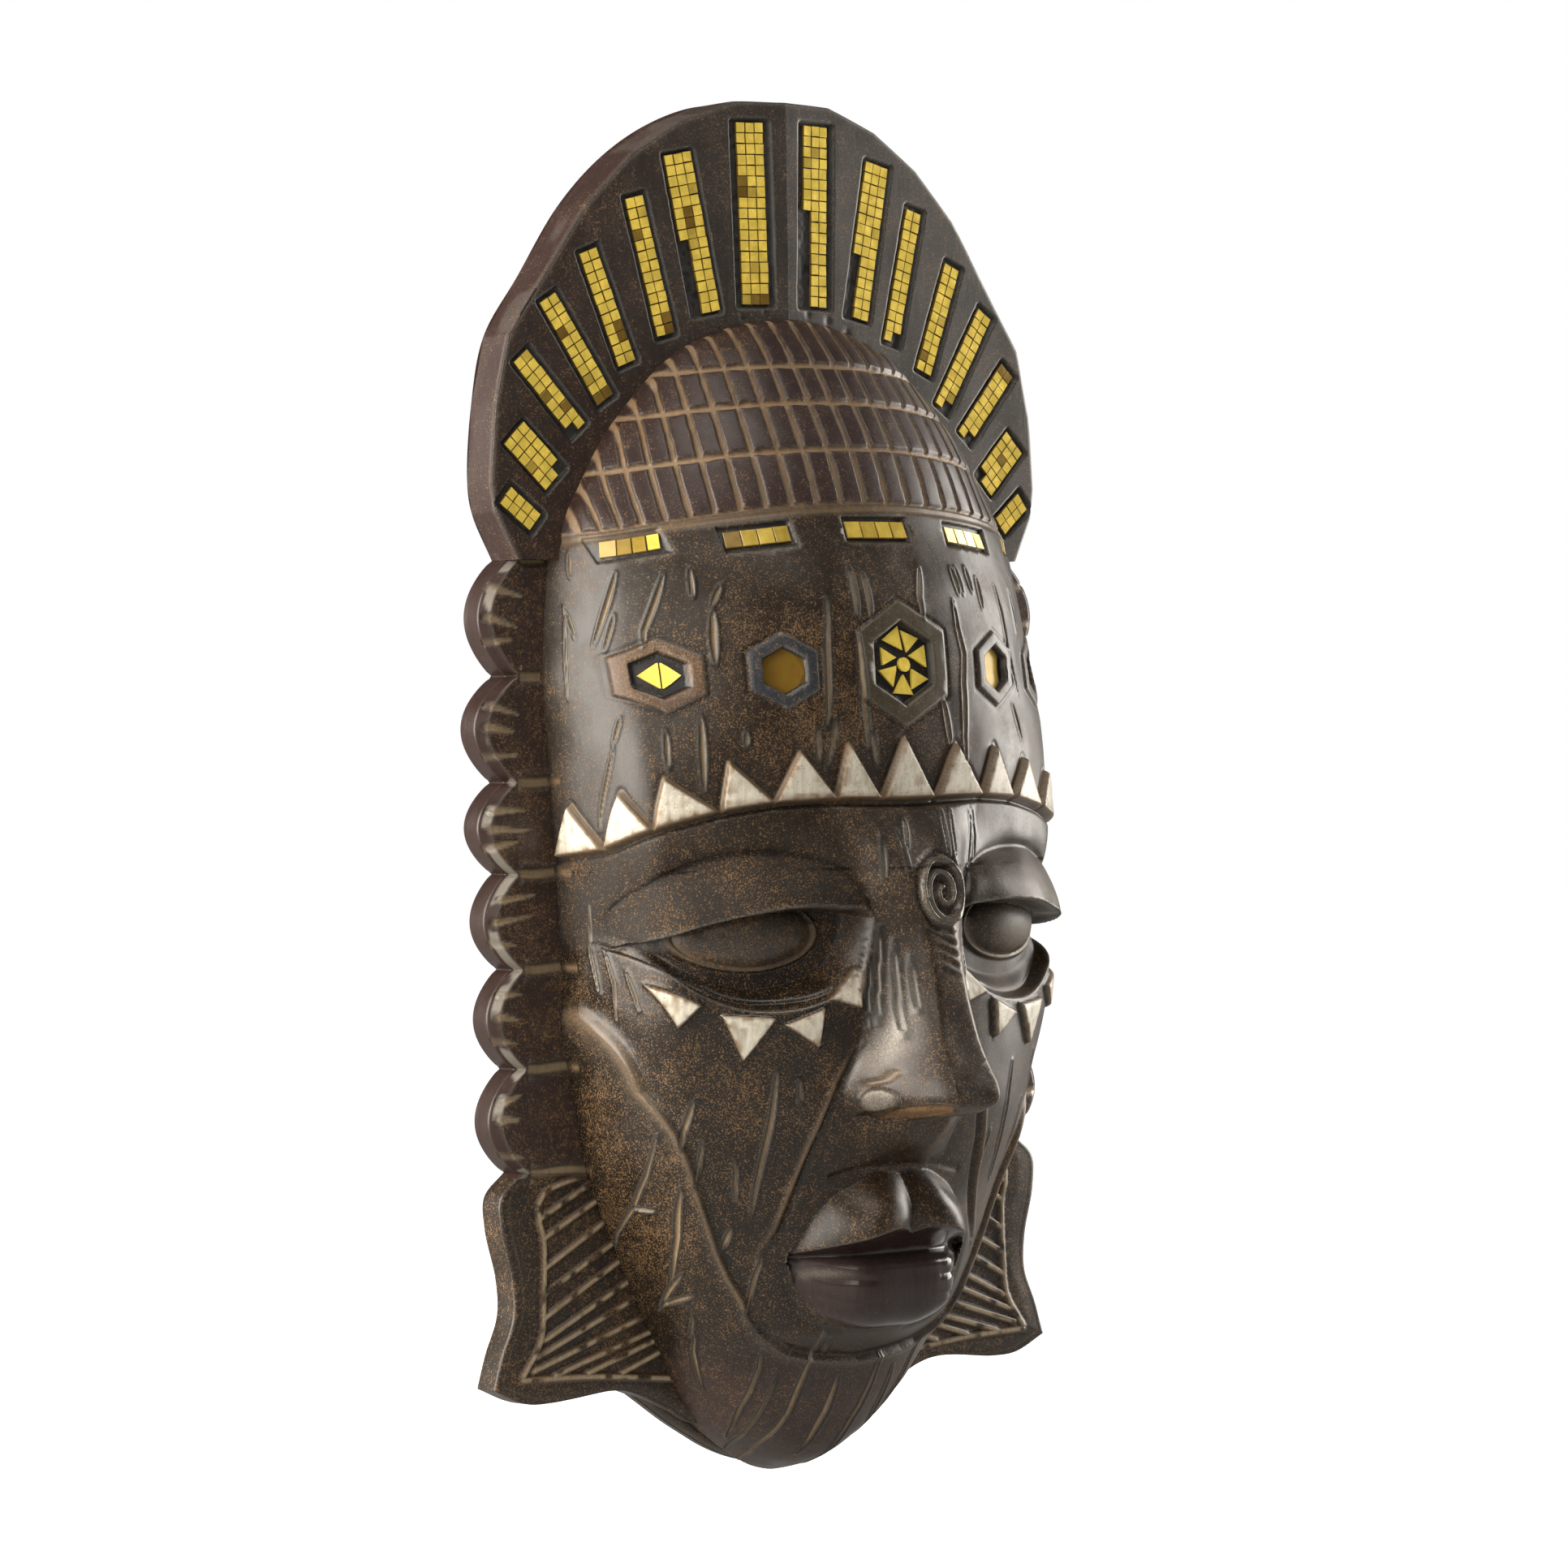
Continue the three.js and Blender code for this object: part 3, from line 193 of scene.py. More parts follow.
# Scratches: points, width
SCRATCHES = [
    ([(-126.3, 456.7), (-131, 438), (-134.8, 421)], 2.6), ([(-128.9, 436), (-132.8, 418.5)], 2.0),
    ([(-138, 441), (-137.5, 425)], 2.0), ([(-111, 455), (-116, 441), (-121, 428), (-121.7, 420.5)], 2.6),
    ([(-100.6, 458), (-102, 443.5)], 2.2), ([(-90, 449.4), (-95.3, 439.6)], 2.2),
    ([(-95.3, 437), (-96.3, 424), (-96.7, 412)], 3.6), ([(-105, 385.6), (-104.6, 350)], 3.0),
    ([(-119, 379), (-119, 360.6)], 2.2), ([(-86, 377.7), (-86, 371)], 2.0),
    ([(-42, 442), (-44.7, 421), (-46, 387), (-47.3, 379)], 2.6), ([(-52, 379), (-50, 363)], 2.4),
    ([(-41.4, 384), (-45.3, 360.6)], 2.4), ([(-24.3, 458), (-27, 433)], 2.4),
    ([(-17.7, 455), (-19, 433)], 2.4), ([(-28.2, 425), (-27, 395), (-23, 366)], 2.6),
    ([(-21, 376), (-17, 360.6)], 2.4), ([(19.8, 458), (13.9, 443.5), (13.9, 433)], 2.4),
    ([(23, 392), (29, 370)], 2.4),
    ([(37.5, 441), (37.5, 428), (40.2, 414.6), (38.2, 400), (39.5, 374), (42, 359)], 2.8),
    ([(43.5, 458), (43.5, 445)], 2.0), ([(47, 458), (47, 445)], 2.0), ([(55, 458), (55, 446)], 2.0),
    ([(62, 452.7), (61, 438)], 2.2), ([(78.3, 449), (82.3, 418.5), (89.5, 395)], 2.6),
    ([(96, 447.5), (97.4, 426.4)], 2.4), ([(82.3, 389.6), (90.8, 372.5)], 2.4),
    ([(-107.3, 198.3), (-108.5, 183), (-107.3, 175.5)], 3.0), ([(-101, 179), (-99, 157)], 1.8),
    ([(-74.7, 214.3), (-75.2, 180), (-74.3, 141.7)], 2.8), ([(-86.3, 168), (-82, 148.6)], 2.0),
    ([(-81.5, 134.3), (-83, 124.3)], 3.0), ([(-67, 120.5), (-68.5, 108), (-67.5, 92)], 2.2),
    ([(-52.5, 74), (-49.4, 63), (-48, 43), (-44, 32), (-40.6, 25.5)], 2.2),
    ([(-40.6, 58), (-40, 43), (-37.5, 27), (-34.4, 18)], 2.0),
    ([(-31, 83), (-27, 72), (-28, 50), (-27, 38), (-27.4, 17), (-25.6, 9.5)], 3.2),
    ([(-8.8, 56.8), (-7.5, 38), (-10.6, 16.8)], 4.2), ([(15, 65.5), (14.4, 38), (6.3, 9.5)], 3.2),
    ([(-22, 74), (-20.8, 68)], 1.8), ([(28, 58), (30, 40), (28, 20)], 3.0),
    ([(44, 70), (41, 48), (36, 28)], 2.4),
    ([(76, 210), (75, 180), (77, 150)], 2.8), ([(96, 190), (92, 165)], 2.2), ([(104, 214), (107, 196)], 2.6),
    ([(-64, 208), (-62, 196)], 1.6), ([(62, 176), (58, 160)], 2.0),
    ([(-114, 181.6), (-112, 162), (-109, 145), (-106, 131), (-102.7, 122)], 2.8),
    ([(-109, 145), (-105, 144)], 1.8), ([(-103, 156), (-97, 131), (-90, 107)], 3.8),
    ([(-90, 112), (-89, 103), (-86, 92)], 3.4),
    ([(-84, 101), (-87, 95)], 2.6), ([(-80, 90), (-76, 79)], 2.2), ([(-77, 83), (-69, 66), (-61, 50.5)], 2.2),
    ([(-134.5, 294), (-133, 270), (-131, 250)], 1.8), ([(-132, 272), (-130, 256), (-128.5, 238)], 2.0),
    ([(-129, 262), (-127, 250), (-126, 243)], 1.8), ([(-135, 467), (-136, 455)], 2.0),
    ([(-138, 440), (-139.5, 416), (-140, 395)], 1.6), ([(-132, 386), (-134, 373)], 1.8),
    ([(-134, 371), (-135, 350), (-135, 331)], 2.0), ([(-5.9, 333.7), (-11.8, 320.4)], 1.6),
    ([(19.9, 338), (11.8, 314)], 1.3), ([(26.5, 338), (16.2, 313)], 1.2), ([(42.6, 336), (37.5, 306)], 1.3),
    ([(45.5, 338), (44.1, 312)], 1.2), ([(-24, 326), (-25, 305)], 1.3), ([(-14, 328), (-15, 309)], 1.1),
    ([(-26, 282), (-28, 234)], 1.3), ([(-21, 276), (-22, 228)], 1.2), ([(-30, 268), (-31.5, 232)], 1.2),
    ([(-16, 268), (-16.5, 240)], 1.1),
]

# Back: half width, depth, half height and middle of the hollow; radius, depth and height of the nail's hole
HOLLOW = (112.0, 85.0, 236.0, 320.0)
HOLLOW_RINGS = 40
HOLE = (4.5, 14.0, 651.0)

# Paint
COLOURS = {
    "umber": (0.019, 0.0125, 0.0075), "graphite": (0.034, 0.029, 0.024), "plum": (0.040, 0.025, 0.022),
    "lip": (0.030, 0.0185, 0.0165), "cap": (0.028, 0.0135, 0.011), "side": (0.028, 0.0115, 0.008),
    "cream": (0.66, 0.61, 0.50), "stain": (0.20, 0.12, 0.055), "tan": (0.26, 0.175, 0.10),
    "grout": (0.035, 0.034, 0.032), "olive": (0.062, 0.050, 0.030), "slate": (0.030, 0.036, 0.046),
    "grey": (0.042, 0.036, 0.030), "rust": (0.080, 0.043, 0.023), "rib": (0.42, 0.34, 0.22),
    "black": (0.010, 0.009, 0.008),
}

# Grids of the meshes, the most triangles that a half of the head keeps, and the least half width of a row
HEAD_ROWS, HEAD_COLUMNS = 880, 541
FRONT_STEPS, WALL_STEPS = 481, 60
PLATE_WALL_STEPS = 12
EDGE_STEPS = np.array([0, 0.5, 1.0, 2.0, 3.0, 4.0, 5.0, 6.0])
HEAD_MOST = 198000
NARROWEST = 0.02
NOISE_PRIMES = (73856093, 19349663, 83492791)


# Smooth curve through a few (place, value) points, level beyond its ends
def along(points, s):
    p = np.array(points, float)
    a, v = p[:, 0], p[:, 1]
    slope = np.gradient(v, a)
    i = np.clip(np.searchsorted(a, s) - 1, 0, len(a) - 2)
    w = a[i + 1] - a[i]
    u = np.clip((s - a[i]) / w, 0, 1)
    return (v[i] * (1 + 2 * u) * (1 - u) ** 2 + slope[i] * w * u * (1 - u) ** 2
            + v[i + 1] * u * u * (3 - 2 * u) - slope[i + 1] * w * u * u * (1 - u))


def ease(low, high, s):
    u = np.clip((s - low) / (high - low), 0, 1)
    return u * u * (3 - 2 * u)


def mix(a, b, u):
    return a + (b - a) * u


def bump_at(s, middle, width):
    return np.exp(-((s - middle) / width) ** 2)


# Share that dies away at both ends of a line, for places from 0 to 1
def fading(place, margin=0.02, least=0.0):
    return np.sqrt(np.clip(np.sin(np.pi * np.clip(place, margin, 1 - margin)), least, 1))


def mirrored(line, side):
    return [(side * x, h) for x, h in line]


def resample(points, count):
    p = np.asarray(points, float)
    run = np.concatenate([[0], np.cumsum(np.hypot(*np.diff(p, axis=0).T))])
    s = np.linspace(0, run[-1], count)
    return np.stack([np.interp(s, run, p[:, 0]), np.interp(s, run, p[:, 1])], -1)


# Points at equal distances on a smooth (centripetal Catmull-Rom) curve through a few points
def smooth_curve(points, count):
    def between(s, low, high, a, b):
        return (high - s) / (high - low) * a + (s - low) / (high - low) * b

    p = np.array(points, float)
    q = np.vstack([2 * p[0] - p[1], p, 2 * p[-1] - p[-2]])
    out = []
    for a, b, c, d in zip(q[:-3], q[1:-2], q[2:-1], q[3:]):
        steps = [max(np.linalg.norm(end - start), 1e-6) ** 0.5 for start, end in ((a, b), (b, c), (c, d))]
        t0, (t1, t2, t3) = 0.0, np.cumsum(steps)
        s = np.linspace(t1, t2, 24, endpoint=False)[:, None]
        ab, bc, cd = between(s, t0, t1, a, b), between(s, t1, t2, b, c), between(s, t2, t3, c, d)
        out.append(between(s, t1, t2, between(s, t0, t2, ab, bc), between(s, t1, t3, bc, cd)))
    out.append(q[-2][None, :])
    return resample(np.vstack(out), count)


# Distance to a closed polygon, positive inside
def inside_by(x, h, points):
    d2 = np.full(x.shape, 1e18)
    inside = np.zeros(x.shape, bool)
    for (ax, ah), (bx, bh) in zip(points, np.roll(points, -1, axis=0)):
        ex, eh = bx - ax, bh - ah
        wx, wh = x - ax, h - ah
        u = np.clip((wx * ex + wh * eh) / max(ex * ex + eh * eh, 1e-12), 0, 1)
        d2 = np.minimum(d2, (wx - u * ex) ** 2 + (wh - u * eh) ** 2)
        if ah != bh:
            inside ^= ((ah > h) != (bh > h)) & (x < (h - ah) / (bh - ah) * ex + ax)
    return np.where(inside, 1, -1) * np.sqrt(d2)


# Distance to a line of points, the place along it from 0 to 1, and which side of it
def line_distance(x, h, points):
    d2 = np.full(x.shape, 1e18)
    place = np.zeros(x.shape)
    side = np.zeros(x.shape)
    run = 0.0
    for (ax, ah), (bx, bh) in zip(points[:-1], points[1:]):
        ex, eh = bx - ax, bh - ah
        length = math.hypot(ex, eh)
        wx, wh = x - ax, h - ah
        u = np.clip((wx * ex + wh * eh) / length ** 2, 0, 1)
        q = (wx - u * ex) ** 2 + (wh - u * eh) ** 2
        nearer = q < d2
        d2 = np.where(nearer, q, d2)
        place = np.where(nearer, run + u * length, place)
        side = np.where(nearer, np.sign(ex * wh - eh * wx), side)
        run += length
    return np.sqrt(d2), place / run, side


# The same two, worked out only within pad of the points: far outside elsewhere
def near_to(x, h, points, pad):
    low, high = np.min(points, axis=0) - pad, np.max(points, axis=0) + pad
    return (x > low[0]) & (x < high[0]) & (h > low[1]) & (h < high[1])


def inside_near(x, h, points, pad=4.0):
    out = np.full(x.shape, -1e3)
    near = near_to(x, h, points, pad)
    out[near] = inside_by(x[near], h[near], points)
    return out


def line_near(x, h, points, pad=8.0):
    out = np.zeros((3,) + x.shape)
    out[0] = 1e3
    near = near_to(x, h, points, pad)
    out[:, near] = line_distance(x[near], h[near], points)
    return out


# Smooth random field in space
def noise(p, size, seed):
    table = np.random.default_rng(seed).random(4096)
    q = p / size
    cell = np.floor(q).astype(np.int64)
    f = q - cell
    f = f * f * (3 - 2 * f)
    total = 0
    for corner in itertools.product((0, 1), repeat=3):
        x, y, z = (cell + corner).T * np.array(NOISE_PRIMES)[:, None]
        weight = math.prod(f[:, k] if up else 1 - f[:, k] for k, up in enumerate(corner))
        total = total + table[(x ^ y ^ z) & 4095] * weight
    return total


# Depth of the bare head, and what nose, eyes and mouth make of it
def bare_head(x, h):
    u = np.minimum(np.abs(x) / along(WIDE, h), 1)
    return along(CENTRE, h) * np.sqrt(1 - u ** 2.1)


def add_nose(x, h, t):
    top, foot = along(NOSE_TOP, h), along(NOSE_FOOT, h)
    w = np.clip((foot - np.abs(x)) / (foot - top), 0, 1)
    w = w * w * (3 - 2 * w) * 0.55 + w * 0.45
    on = ease(155, 165, h) * (1 - ease(338, 346, h))
    return t + np.maximum(along(NOSE_RIDGE, h) - t, 0) * w * on


def add_eyes(x, h, t):
    ax = np.abs(x)
    crease, lid, low = along(CREASE, ax), along(LID, ax), along(SOCKET, ax)
    ct, lt, st = along(CREASE_T, ax), along(LID_T, ax), along(SOCKET_T, ax)
    v = np.clip((h - crease) / (BROW_H - crease), 0, 1)
    brow = t + (ct - t) * (1 - v) ** 2.2
    v = np.clip((crease - h) / np.maximum(crease - lid, 1), 0, 1)
    hood = ct + (lt - ct) * (v * 0.75 + 0.25 * np.sin(v * np.pi / 2)) + 2.0 * np.sin(v * np.pi)
    cx, ch, rx, rh = EYE
    out = np.hypot((ax - cx) / rx, (h - ch) / rh)
    plane = along(EYE_PLANE, ax)
    ball = plane - 4 + 11 * np.sqrt(np.clip(1 - out * out, 0, 1))
    rim = plane - 3 + 2.6 * bump_at(out, 1.04, 0.055)
    under = np.maximum(ball, rim)
    v = np.clip((h - low) / mix(26.0, 9.0, ease(28, 46, ax)), 0, 1)
    lower = st + (under - st) * v * v * (3 - 2 * v)
    drop = ease(0, 2.2, lid - h)
    inside = np.where(h >= crease, brow,
                      np.where(h >= lid, hood, lt + (np.minimum(lower, lt) - lt) * drop))
    cheek = st + (t - st) * ease(0, 4.0, low - h)
    s = np.where(h >= low, inside, np.where(low - h < 6, np.minimum(cheek, t), t))
    on = ease(27, 34, ax) * (1 - ease(130.5, 134.5, ax)) * (h < BROW_H)
    return t + (s - t) * on


def add_mouth(x, h, t):
    ax = np.minimum(np.abs(x), MOUTH_REACH)
    top, edge, low = along(LIP_TOP, ax), along(LIP_EDGE, ax), along(LIP_LOW, ax)
    et, mt, lt = along(LIP_EDGE_T, ax), along(PARTING_T, ax), along(LOWER_T, ax)
    v = np.clip((top - h) / np.maximum(top - edge, 1), 0, 1)
    upper = t + (et - t) * (1 - (1 - v) ** 2.0) + 3.0 * np.sin(v * np.pi) * (1 - ax / MOUTH_REACH)
    v = np.clip((edge - h) / np.maximum(edge - PARTING_H, 0.5), 0, 1)
    roll = et + (mt - et) * np.sin(v * np.pi / 2)
    v = np.clip((PARTING_H - h) / np.maximum(PARTING_H - low, 0.5), 0, 1)
    lower = mt + (lt - mt) * np.sin(np.clip(v / 0.18, 0, 1) * np.pi / 2)
    v2 = np.clip((v - 0.35) / 0.65, 0, 1)
    lower = lower + (t - lower) * (1 - np.sqrt(np.maximum(1 - v2 ** 2.6, 0)))
    s = np.where(h >= edge, upper, np.where(h >= PARTING_H, roll, lower))
    return np.where((np.abs(x) < MOUTH_HALF) & (h < top) & (h > low), s, t)


def face_depth(x, h):
    return add_mouth(x, h, add_eyes(x, h, add_nose(x, h, bare_head(x, h))))


# Share of the depth that is left near the face's outline
def edge_rounding(distance, h):
    reach = mix(17.0, 3.0, ease(458, 492, h))
    u = np.clip(1 - distance / reach, 0, 1)
    return np.sqrt(1 - 0.86 * u ** 2.6)


def bulge_curve(count):
    points = []
    for (x0, h0), (x1, h1), bulge in zip(NOTCHES[:-1], NOTCHES[1:], BULGES):
        for s in np.arange(24) / 24:
            points.append((mix(mix(x0, x1, s), bulge, math.sin(math.pi * s) ** 0.8), mix(h0, h1, s)))
    points.append(NOTCHES[-1])
    return resample(points, count)


fan_curve = np.vstack([smooth_curve(FAN_SIDE, 160), smooth_curve(FAN_FOOT, 200)[1:]])
right_face_curve = smooth_curve([(-12, 6)] + [(x, h) for h, x in FACE_EDGE] + [(-34, 582)], 2400)
right_face_curve = right_face_curve[right_face_curve[:, 0] >= 0]
face_outline = np.vstack([right_face_curve, right_face_curve[::-1] * (-1, 1)])[::6]


# The face's outline between two heights, from the top down
def face_line(rows, low, high=CROWN_OUTLINE[0][1]):
    h = right_face_curve[:, 1]
    return resample(right_face_curve[(h >= low) & (h <= high)][::-1], rows)


def hexagon(x, h, half_flats):
    radius = half_flats / math.cos(math.pi / 6)
    turns = [k * math.pi / 3 + math.pi / 6 for k in range(6)]
    return [(x + radius * math.cos(turn), h + radius * math.sin(turn)) for turn in turns]


def tilted_box(x, h, wide, high, tilt):
    turn = math.radians(tilt)
    c, s = math.cos(turn), math.sin(turn)
    return [(x + (a * c - b * s) / 2, h + (a * s + b * c) / 2)
            for a, b in ((-wide, -high), (wide, -high), (wide, high), (-wide, high))]


# Quads over a grid of points, and the normals of its points
def grid_faces(rows, columns, flip=False):
    i, j = np.meshgrid(np.arange(rows - 1), np.arange(columns - 1), indexing="ij")
    a = (i * columns + j).ravel()
    quads = np.stack([a, a + 1, a + columns + 1, a + columns], -1)
    return quads[:, ::-1] if flip else quads


def grid_normals(points):
    n = np.cross(np.gradient(points, axis=1), np.gradient(points, axis=0))
    return n / np.maximum(np.linalg.norm(n, axis=-1, keepdims=True), 1e-9)


# How far each point of a grid stands out from its neighbours, in mm, at one scale
def standing_out(points, normals, reach):
    blurred = points.copy()
    for _ in range(reach):
        inner = blurred.copy()
        inner[1:-1] = (blurred[:-2] + blurred[2:] + 2 * blurred[1:-1]) / 4
        blurred = inner.copy()
        blurred[:, 1:-1] = (inner[:, :-2] + inner[:, 2:] + 2 * inner[:, 1:-1]) / 4
    return ((points - blurred) * normals).sum(-1).ravel()


# A piece as a grid of points, with how far each one is carved along its normal (lift) or moved away from
# the wall (push), and its paint: albedo, tan, silver sheen (rubbed silver and painted highlight), gloss,
# and which paint stays as it is where edge highlights and hollow shade are painted (kept)
class Relief:
    def __init__(self, x, h, t, colour):
        self.shape = x.shape
        self.points = np.stack([x, -t, h - BASE_H], -1)
        self.normals = grid_normals(self.points)
        self.flat = self.points.reshape(-1, 3)
        self.x, self.h, self.t = x.ravel(), h.ravel(), t.ravel()
        self.ax = np.abs(self.x)
        self.lift, self.push, self.silver, self.kept = np.zeros((4, x.size))
        self.tan = np.full(x.size, 0.25)
        self.gloss = np.full(x.size, 0.40)
        self.albedo = np.tile(COLOURS[colour], (x.size, 1))

    # Lays a colour on and moves the named layers to new values, both by the share amount
    def coat(self, amount, colour=None, **layers):
        share = np.clip(amount, 0, 1)
        if colour in ("tan", "rib"):
            self.kept = np.maximum(self.kept, np.clip(amount * 1.3, 0, 1))
        if colour:
            self.albedo += (np.array(COLOURS[colour]) - self.albedo) * share[:, None]
        for layer, value in layers.items():
            old = getattr(self, layer)
            setattr(self, layer, old + (value - old) * share)

    def inside(self, points, pad=4.0):
        return inside_near(self.x, self.h, points, pad)

    def line(self, points, pad=8.0):
        return line_near(self.x, self.h, points, pad)

    def noise(self, size, seed):
        return noise(self.flat, size, seed)

    def carved(self):
        moved = self.points + self.normals * self.lift.reshape(*self.shape, 1)
        moved[..., 1] -= self.push.reshape(self.shape)
        return moved

    # Raised edges get silver, partly rubbed paint and partly painted highlight, and hollows get black as
    # painted shade, but for strips of paint
    def light_edges_and_shade_hollows(self, moved, normals, silver):
        fine = standing_out(moved, normals, 3)
        dark = (1 - self.kept) * (self.albedo.max(axis=1) < 0.3)
        self.coat(ease(0.12, 0.5, fine) * dark, silver=silver)
        self.coat(0.5 * ease(0.04, 0.3, -fine) * dark, "black")
        return dark

    def layers(self, rows=slice(None)):
        finish = np.stack([self.tan, self.silver, self.gloss], -1)
        return {key: values.reshape(*self.shape, 3)[rows].reshape(-1, 3)
                for key, values in (("albedo", self.albedo), ("finish", finish))}


def link_object(name, mesh):
    obj = bpy.data.objects.new(name, mesh)
    bpy.context.scene.collection.objects.link(obj)
    return obj


# Makes a mesh object in the row frame from a grid of points in mm, thinned to at most so many triangles
def grid_object(name, points, layers, most, flip=False):
    faces = grid_faces(*points.shape[:2], flip).astype(np.int32)
    points = (points.reshape(-1, 3) * MM).astype(np.float32)
    mesh = bpy.data.meshes.new(name)
    mesh.vertices.add(len(points))
    mesh.vertices.foreach_set("co", points.ravel())
    mesh.loops.add(faces.size)
    mesh.loops.foreach_set("vertex_index", faces.ravel())
    mesh.polygons.add(len(faces))
    mesh.polygons.foreach_set("loop_start", np.arange(0, faces.size, 4, dtype=np.int32))
    mesh.update(calc_edges=True)
    mesh.polygons.foreach_set("use_smooth", np.full(len(faces), True))
    for key, values in layers.items():
        layer = mesh.attributes.new(key, "FLOAT_VECTOR", "POINT")
        layer.data.foreach_set("vector", values.astype(np.float32).ravel())
    obj = link_object(name, mesh)
    triangles = 2 * len(faces)
    if triangles > most:
        obj.modifiers.new("Thin", "DECIMATE").ratio = most / triangles
        graph = bpy.context.evaluated_depsgraph_get()
        obj.data = bpy.data.meshes.new_from_object(obj.evaluated_get(graph))
        obj.modifiers.clear()
        obj.data.polygons.foreach_set("use_smooth", np.full(len(obj.data.polygons), True))
    return obj


def use_material(obj, material):
    obj.data.materials.clear()
    obj.data.materials.append(material)


def finish_piece(obj, material):
    use_material(obj, material)
    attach(obj, "root")


# Head: rows of equal length steps over its section, from the wall on one side to the wall on the other
def head_grid():
    curve = resample(right_face_curve, HEAD_ROWS)
    x, t, arc = np.empty((3, HEAD_ROWS, HEAD_COLUMNS))
    on_wall = np.zeros(x.shape, bool)
    for i, (half, h) in enumerate(curve):
        half = max(half, NARROWEST)
        w = half * np.sin(np.linspace(-1, 1, FRONT_STEPS) * np.pi / 2)
        front = bare_head(w, np.full_like(w, h)) * edge_rounding(half - np.abs(w), h)
        wall = np.linspace(0, front[0], WALL_STEPS, endpoint=False)
        beside = np.full(WALL_STEPS, half)
        line = np.vstack([np.stack([-beside, wall], -1), np.stack([w, front], -1),
                          np.stack([beside, wall[::-1]], -1)])
        run = np.concatenate([[0], np.cumsum(np.hypot(*np.diff(line, axis=0).T))])
        s = np.linspace(0, run[-1], HEAD_COLUMNS)
        x[i] = np.interp(s, run, line[:, 0])
        t[i] = np.interp(s, run, line[:, 1])
        on_wall[i] = (s < run[WALL_STEPS]) | (s > run[WALL_STEPS + FRONT_STEPS - 1])
        arc[i] = s - run[-1] / 2
    return x, t, on_wall, arc, np.maximum(curve[:, 0], NARROWEST), curve[:, 1]


# Broad tones: browner cheeks, greyer forehead sides and walls, plum chin, the gloss of the half that
# is turned to the light, and painted shade on that half below the brows
def tone_head(g):
    X, H, AX = g.x, g.h, g.ax
    g.coat(0.8 * ease(95, 135, AX) * (H > 330), "graphite")
    g.coat(bump_at(H, 200, 90) * g.front, tan=0.32)
    g.coat(bump_at(H, 395, 45) * bump_at(X, -45, 50), tan=0.5)
    g.coat(bump_at(H, 120, 70) * ease(85, 100, AX), tan=0.45)
    g.coat(ease(40, 10, H), tan=0.15)
    g.coat(0.7 * (1 - ease(55, 85, H)), "plum")
    g.coat(ease(-30, -45, X) * bump_at(H, 285, 50), gloss=0.0)
    lit = ease(-25, -60, X) * ease(50, 80, H)
    g.coat(lit * ease(285, 268, H), gloss=0.7)
    g.coat(lit * ease(268, 285, H) * ease(335, 315, H), gloss=-0.5)
    # painted shade on the half turned to the light, below the brows
    g.coat(0.4 * lit * ease(318, 300, H), "black")


def carve_recesses(g):
    for _, sx, sh, tilt, wide, *_ in STRIPS:
        d = g.inside(tilted_box(sx, sh, wide, STRIP_HIGH, tilt))
        room = ease(-0.5, 0.7, d) * g.front
        g.push -= 2.7 * room
        g.coat(room, "grout", gloss=0.35, tan=0.12)
        # painted highlight on the recess's right rim
        g.coat(bump_at(d, -1.0, 0.6) * (g.x > sx) * g.front, silver=0.4)
    facing = np.clip(np.abs(g.normals[..., 1]).ravel(), 0.35, 1)
    for hx, hh, frame_half, field_half, tone in HEXAGONS:
        d = g.inside(hexagon(hx, hh, frame_half))
        frame_on = ease(-0.8, 0.8, d)
        field_on = ease(-0.6, 0.6, g.inside(hexagon(hx, hh, field_half)))
        proud = 0.7 if tone == "slate" else 1.2
        g.lift += proud * frame_on * (1 - field_on)
        g.push -= 2.5 * field_on / facing
        g.lift -= 0.5 * bump_at(d, -1.6, 0.9)
        g.coat(0.85 * frame_on, tone)
        g.coat(frame_on, tan=0.5 if tone == "rust" else 0.2)
        g.coat(field_on, "black", tan=0.0)
        # painted highlight on the right part of the frame's edge
        g.coat(bump_at(d, 0.2, 0.6) * (g.x > hx - 2), silver=0.45)


# Teeth, in arc length over the brows, and the step under them
def carve_teeth(g):
    base = along(TOOTH_BASE, np.abs(g.arc))
    worn = ease(0.55, 0.8, g.noise(2.6, 11))
    at_brow = (g.h > TOOTH_ROOM[0]) & (g.h < TOOTH_ROOM[1])
    for left, right, peak, top in TEETH:
        near = at_brow & (g.arc > left - 4) & (g.arc < right + 4)
        foot = along(TOOTH_BASE, np.abs([left, right]))
        d = np.full(g.h.size, -99.0)
        d[near] = inside_by(g.arc[near], g.h[near], [(left, foot[0]), (right, foot[1]), (peak, top)])
        on = ease(-0.9, 0.7, d)
        g.lift += 3.6 * on - 0.5 * bump_at(d, -2.0, 1.2)
        g.coat(ease(-0.2, 0.8, d), "cream")
        g.coat(ease(-0.2, 0.6, d)
               * (0.75 * bump_at(d, 0.2, 0.9) + 0.5 * worn + 0.5 * bump_at(g.h - base, 1.0, 2.5)), "stain")
        g.coat(0.7 * bump_at(d, -0.7, 0.8), "tan")
        g.coat(ease(0.0, 0.8, d), tan=0.12)
        g.coat(on, gloss=0.35)
    below = base - g.h
    g.lift -= 1.8 * bump_at(below, 1.8, 1.6) * (g.ax < 200)
    # painted shadow in the step under the teeth
    g.coat(0.7 * bump_at(below, 1.6, 1.8), "black")


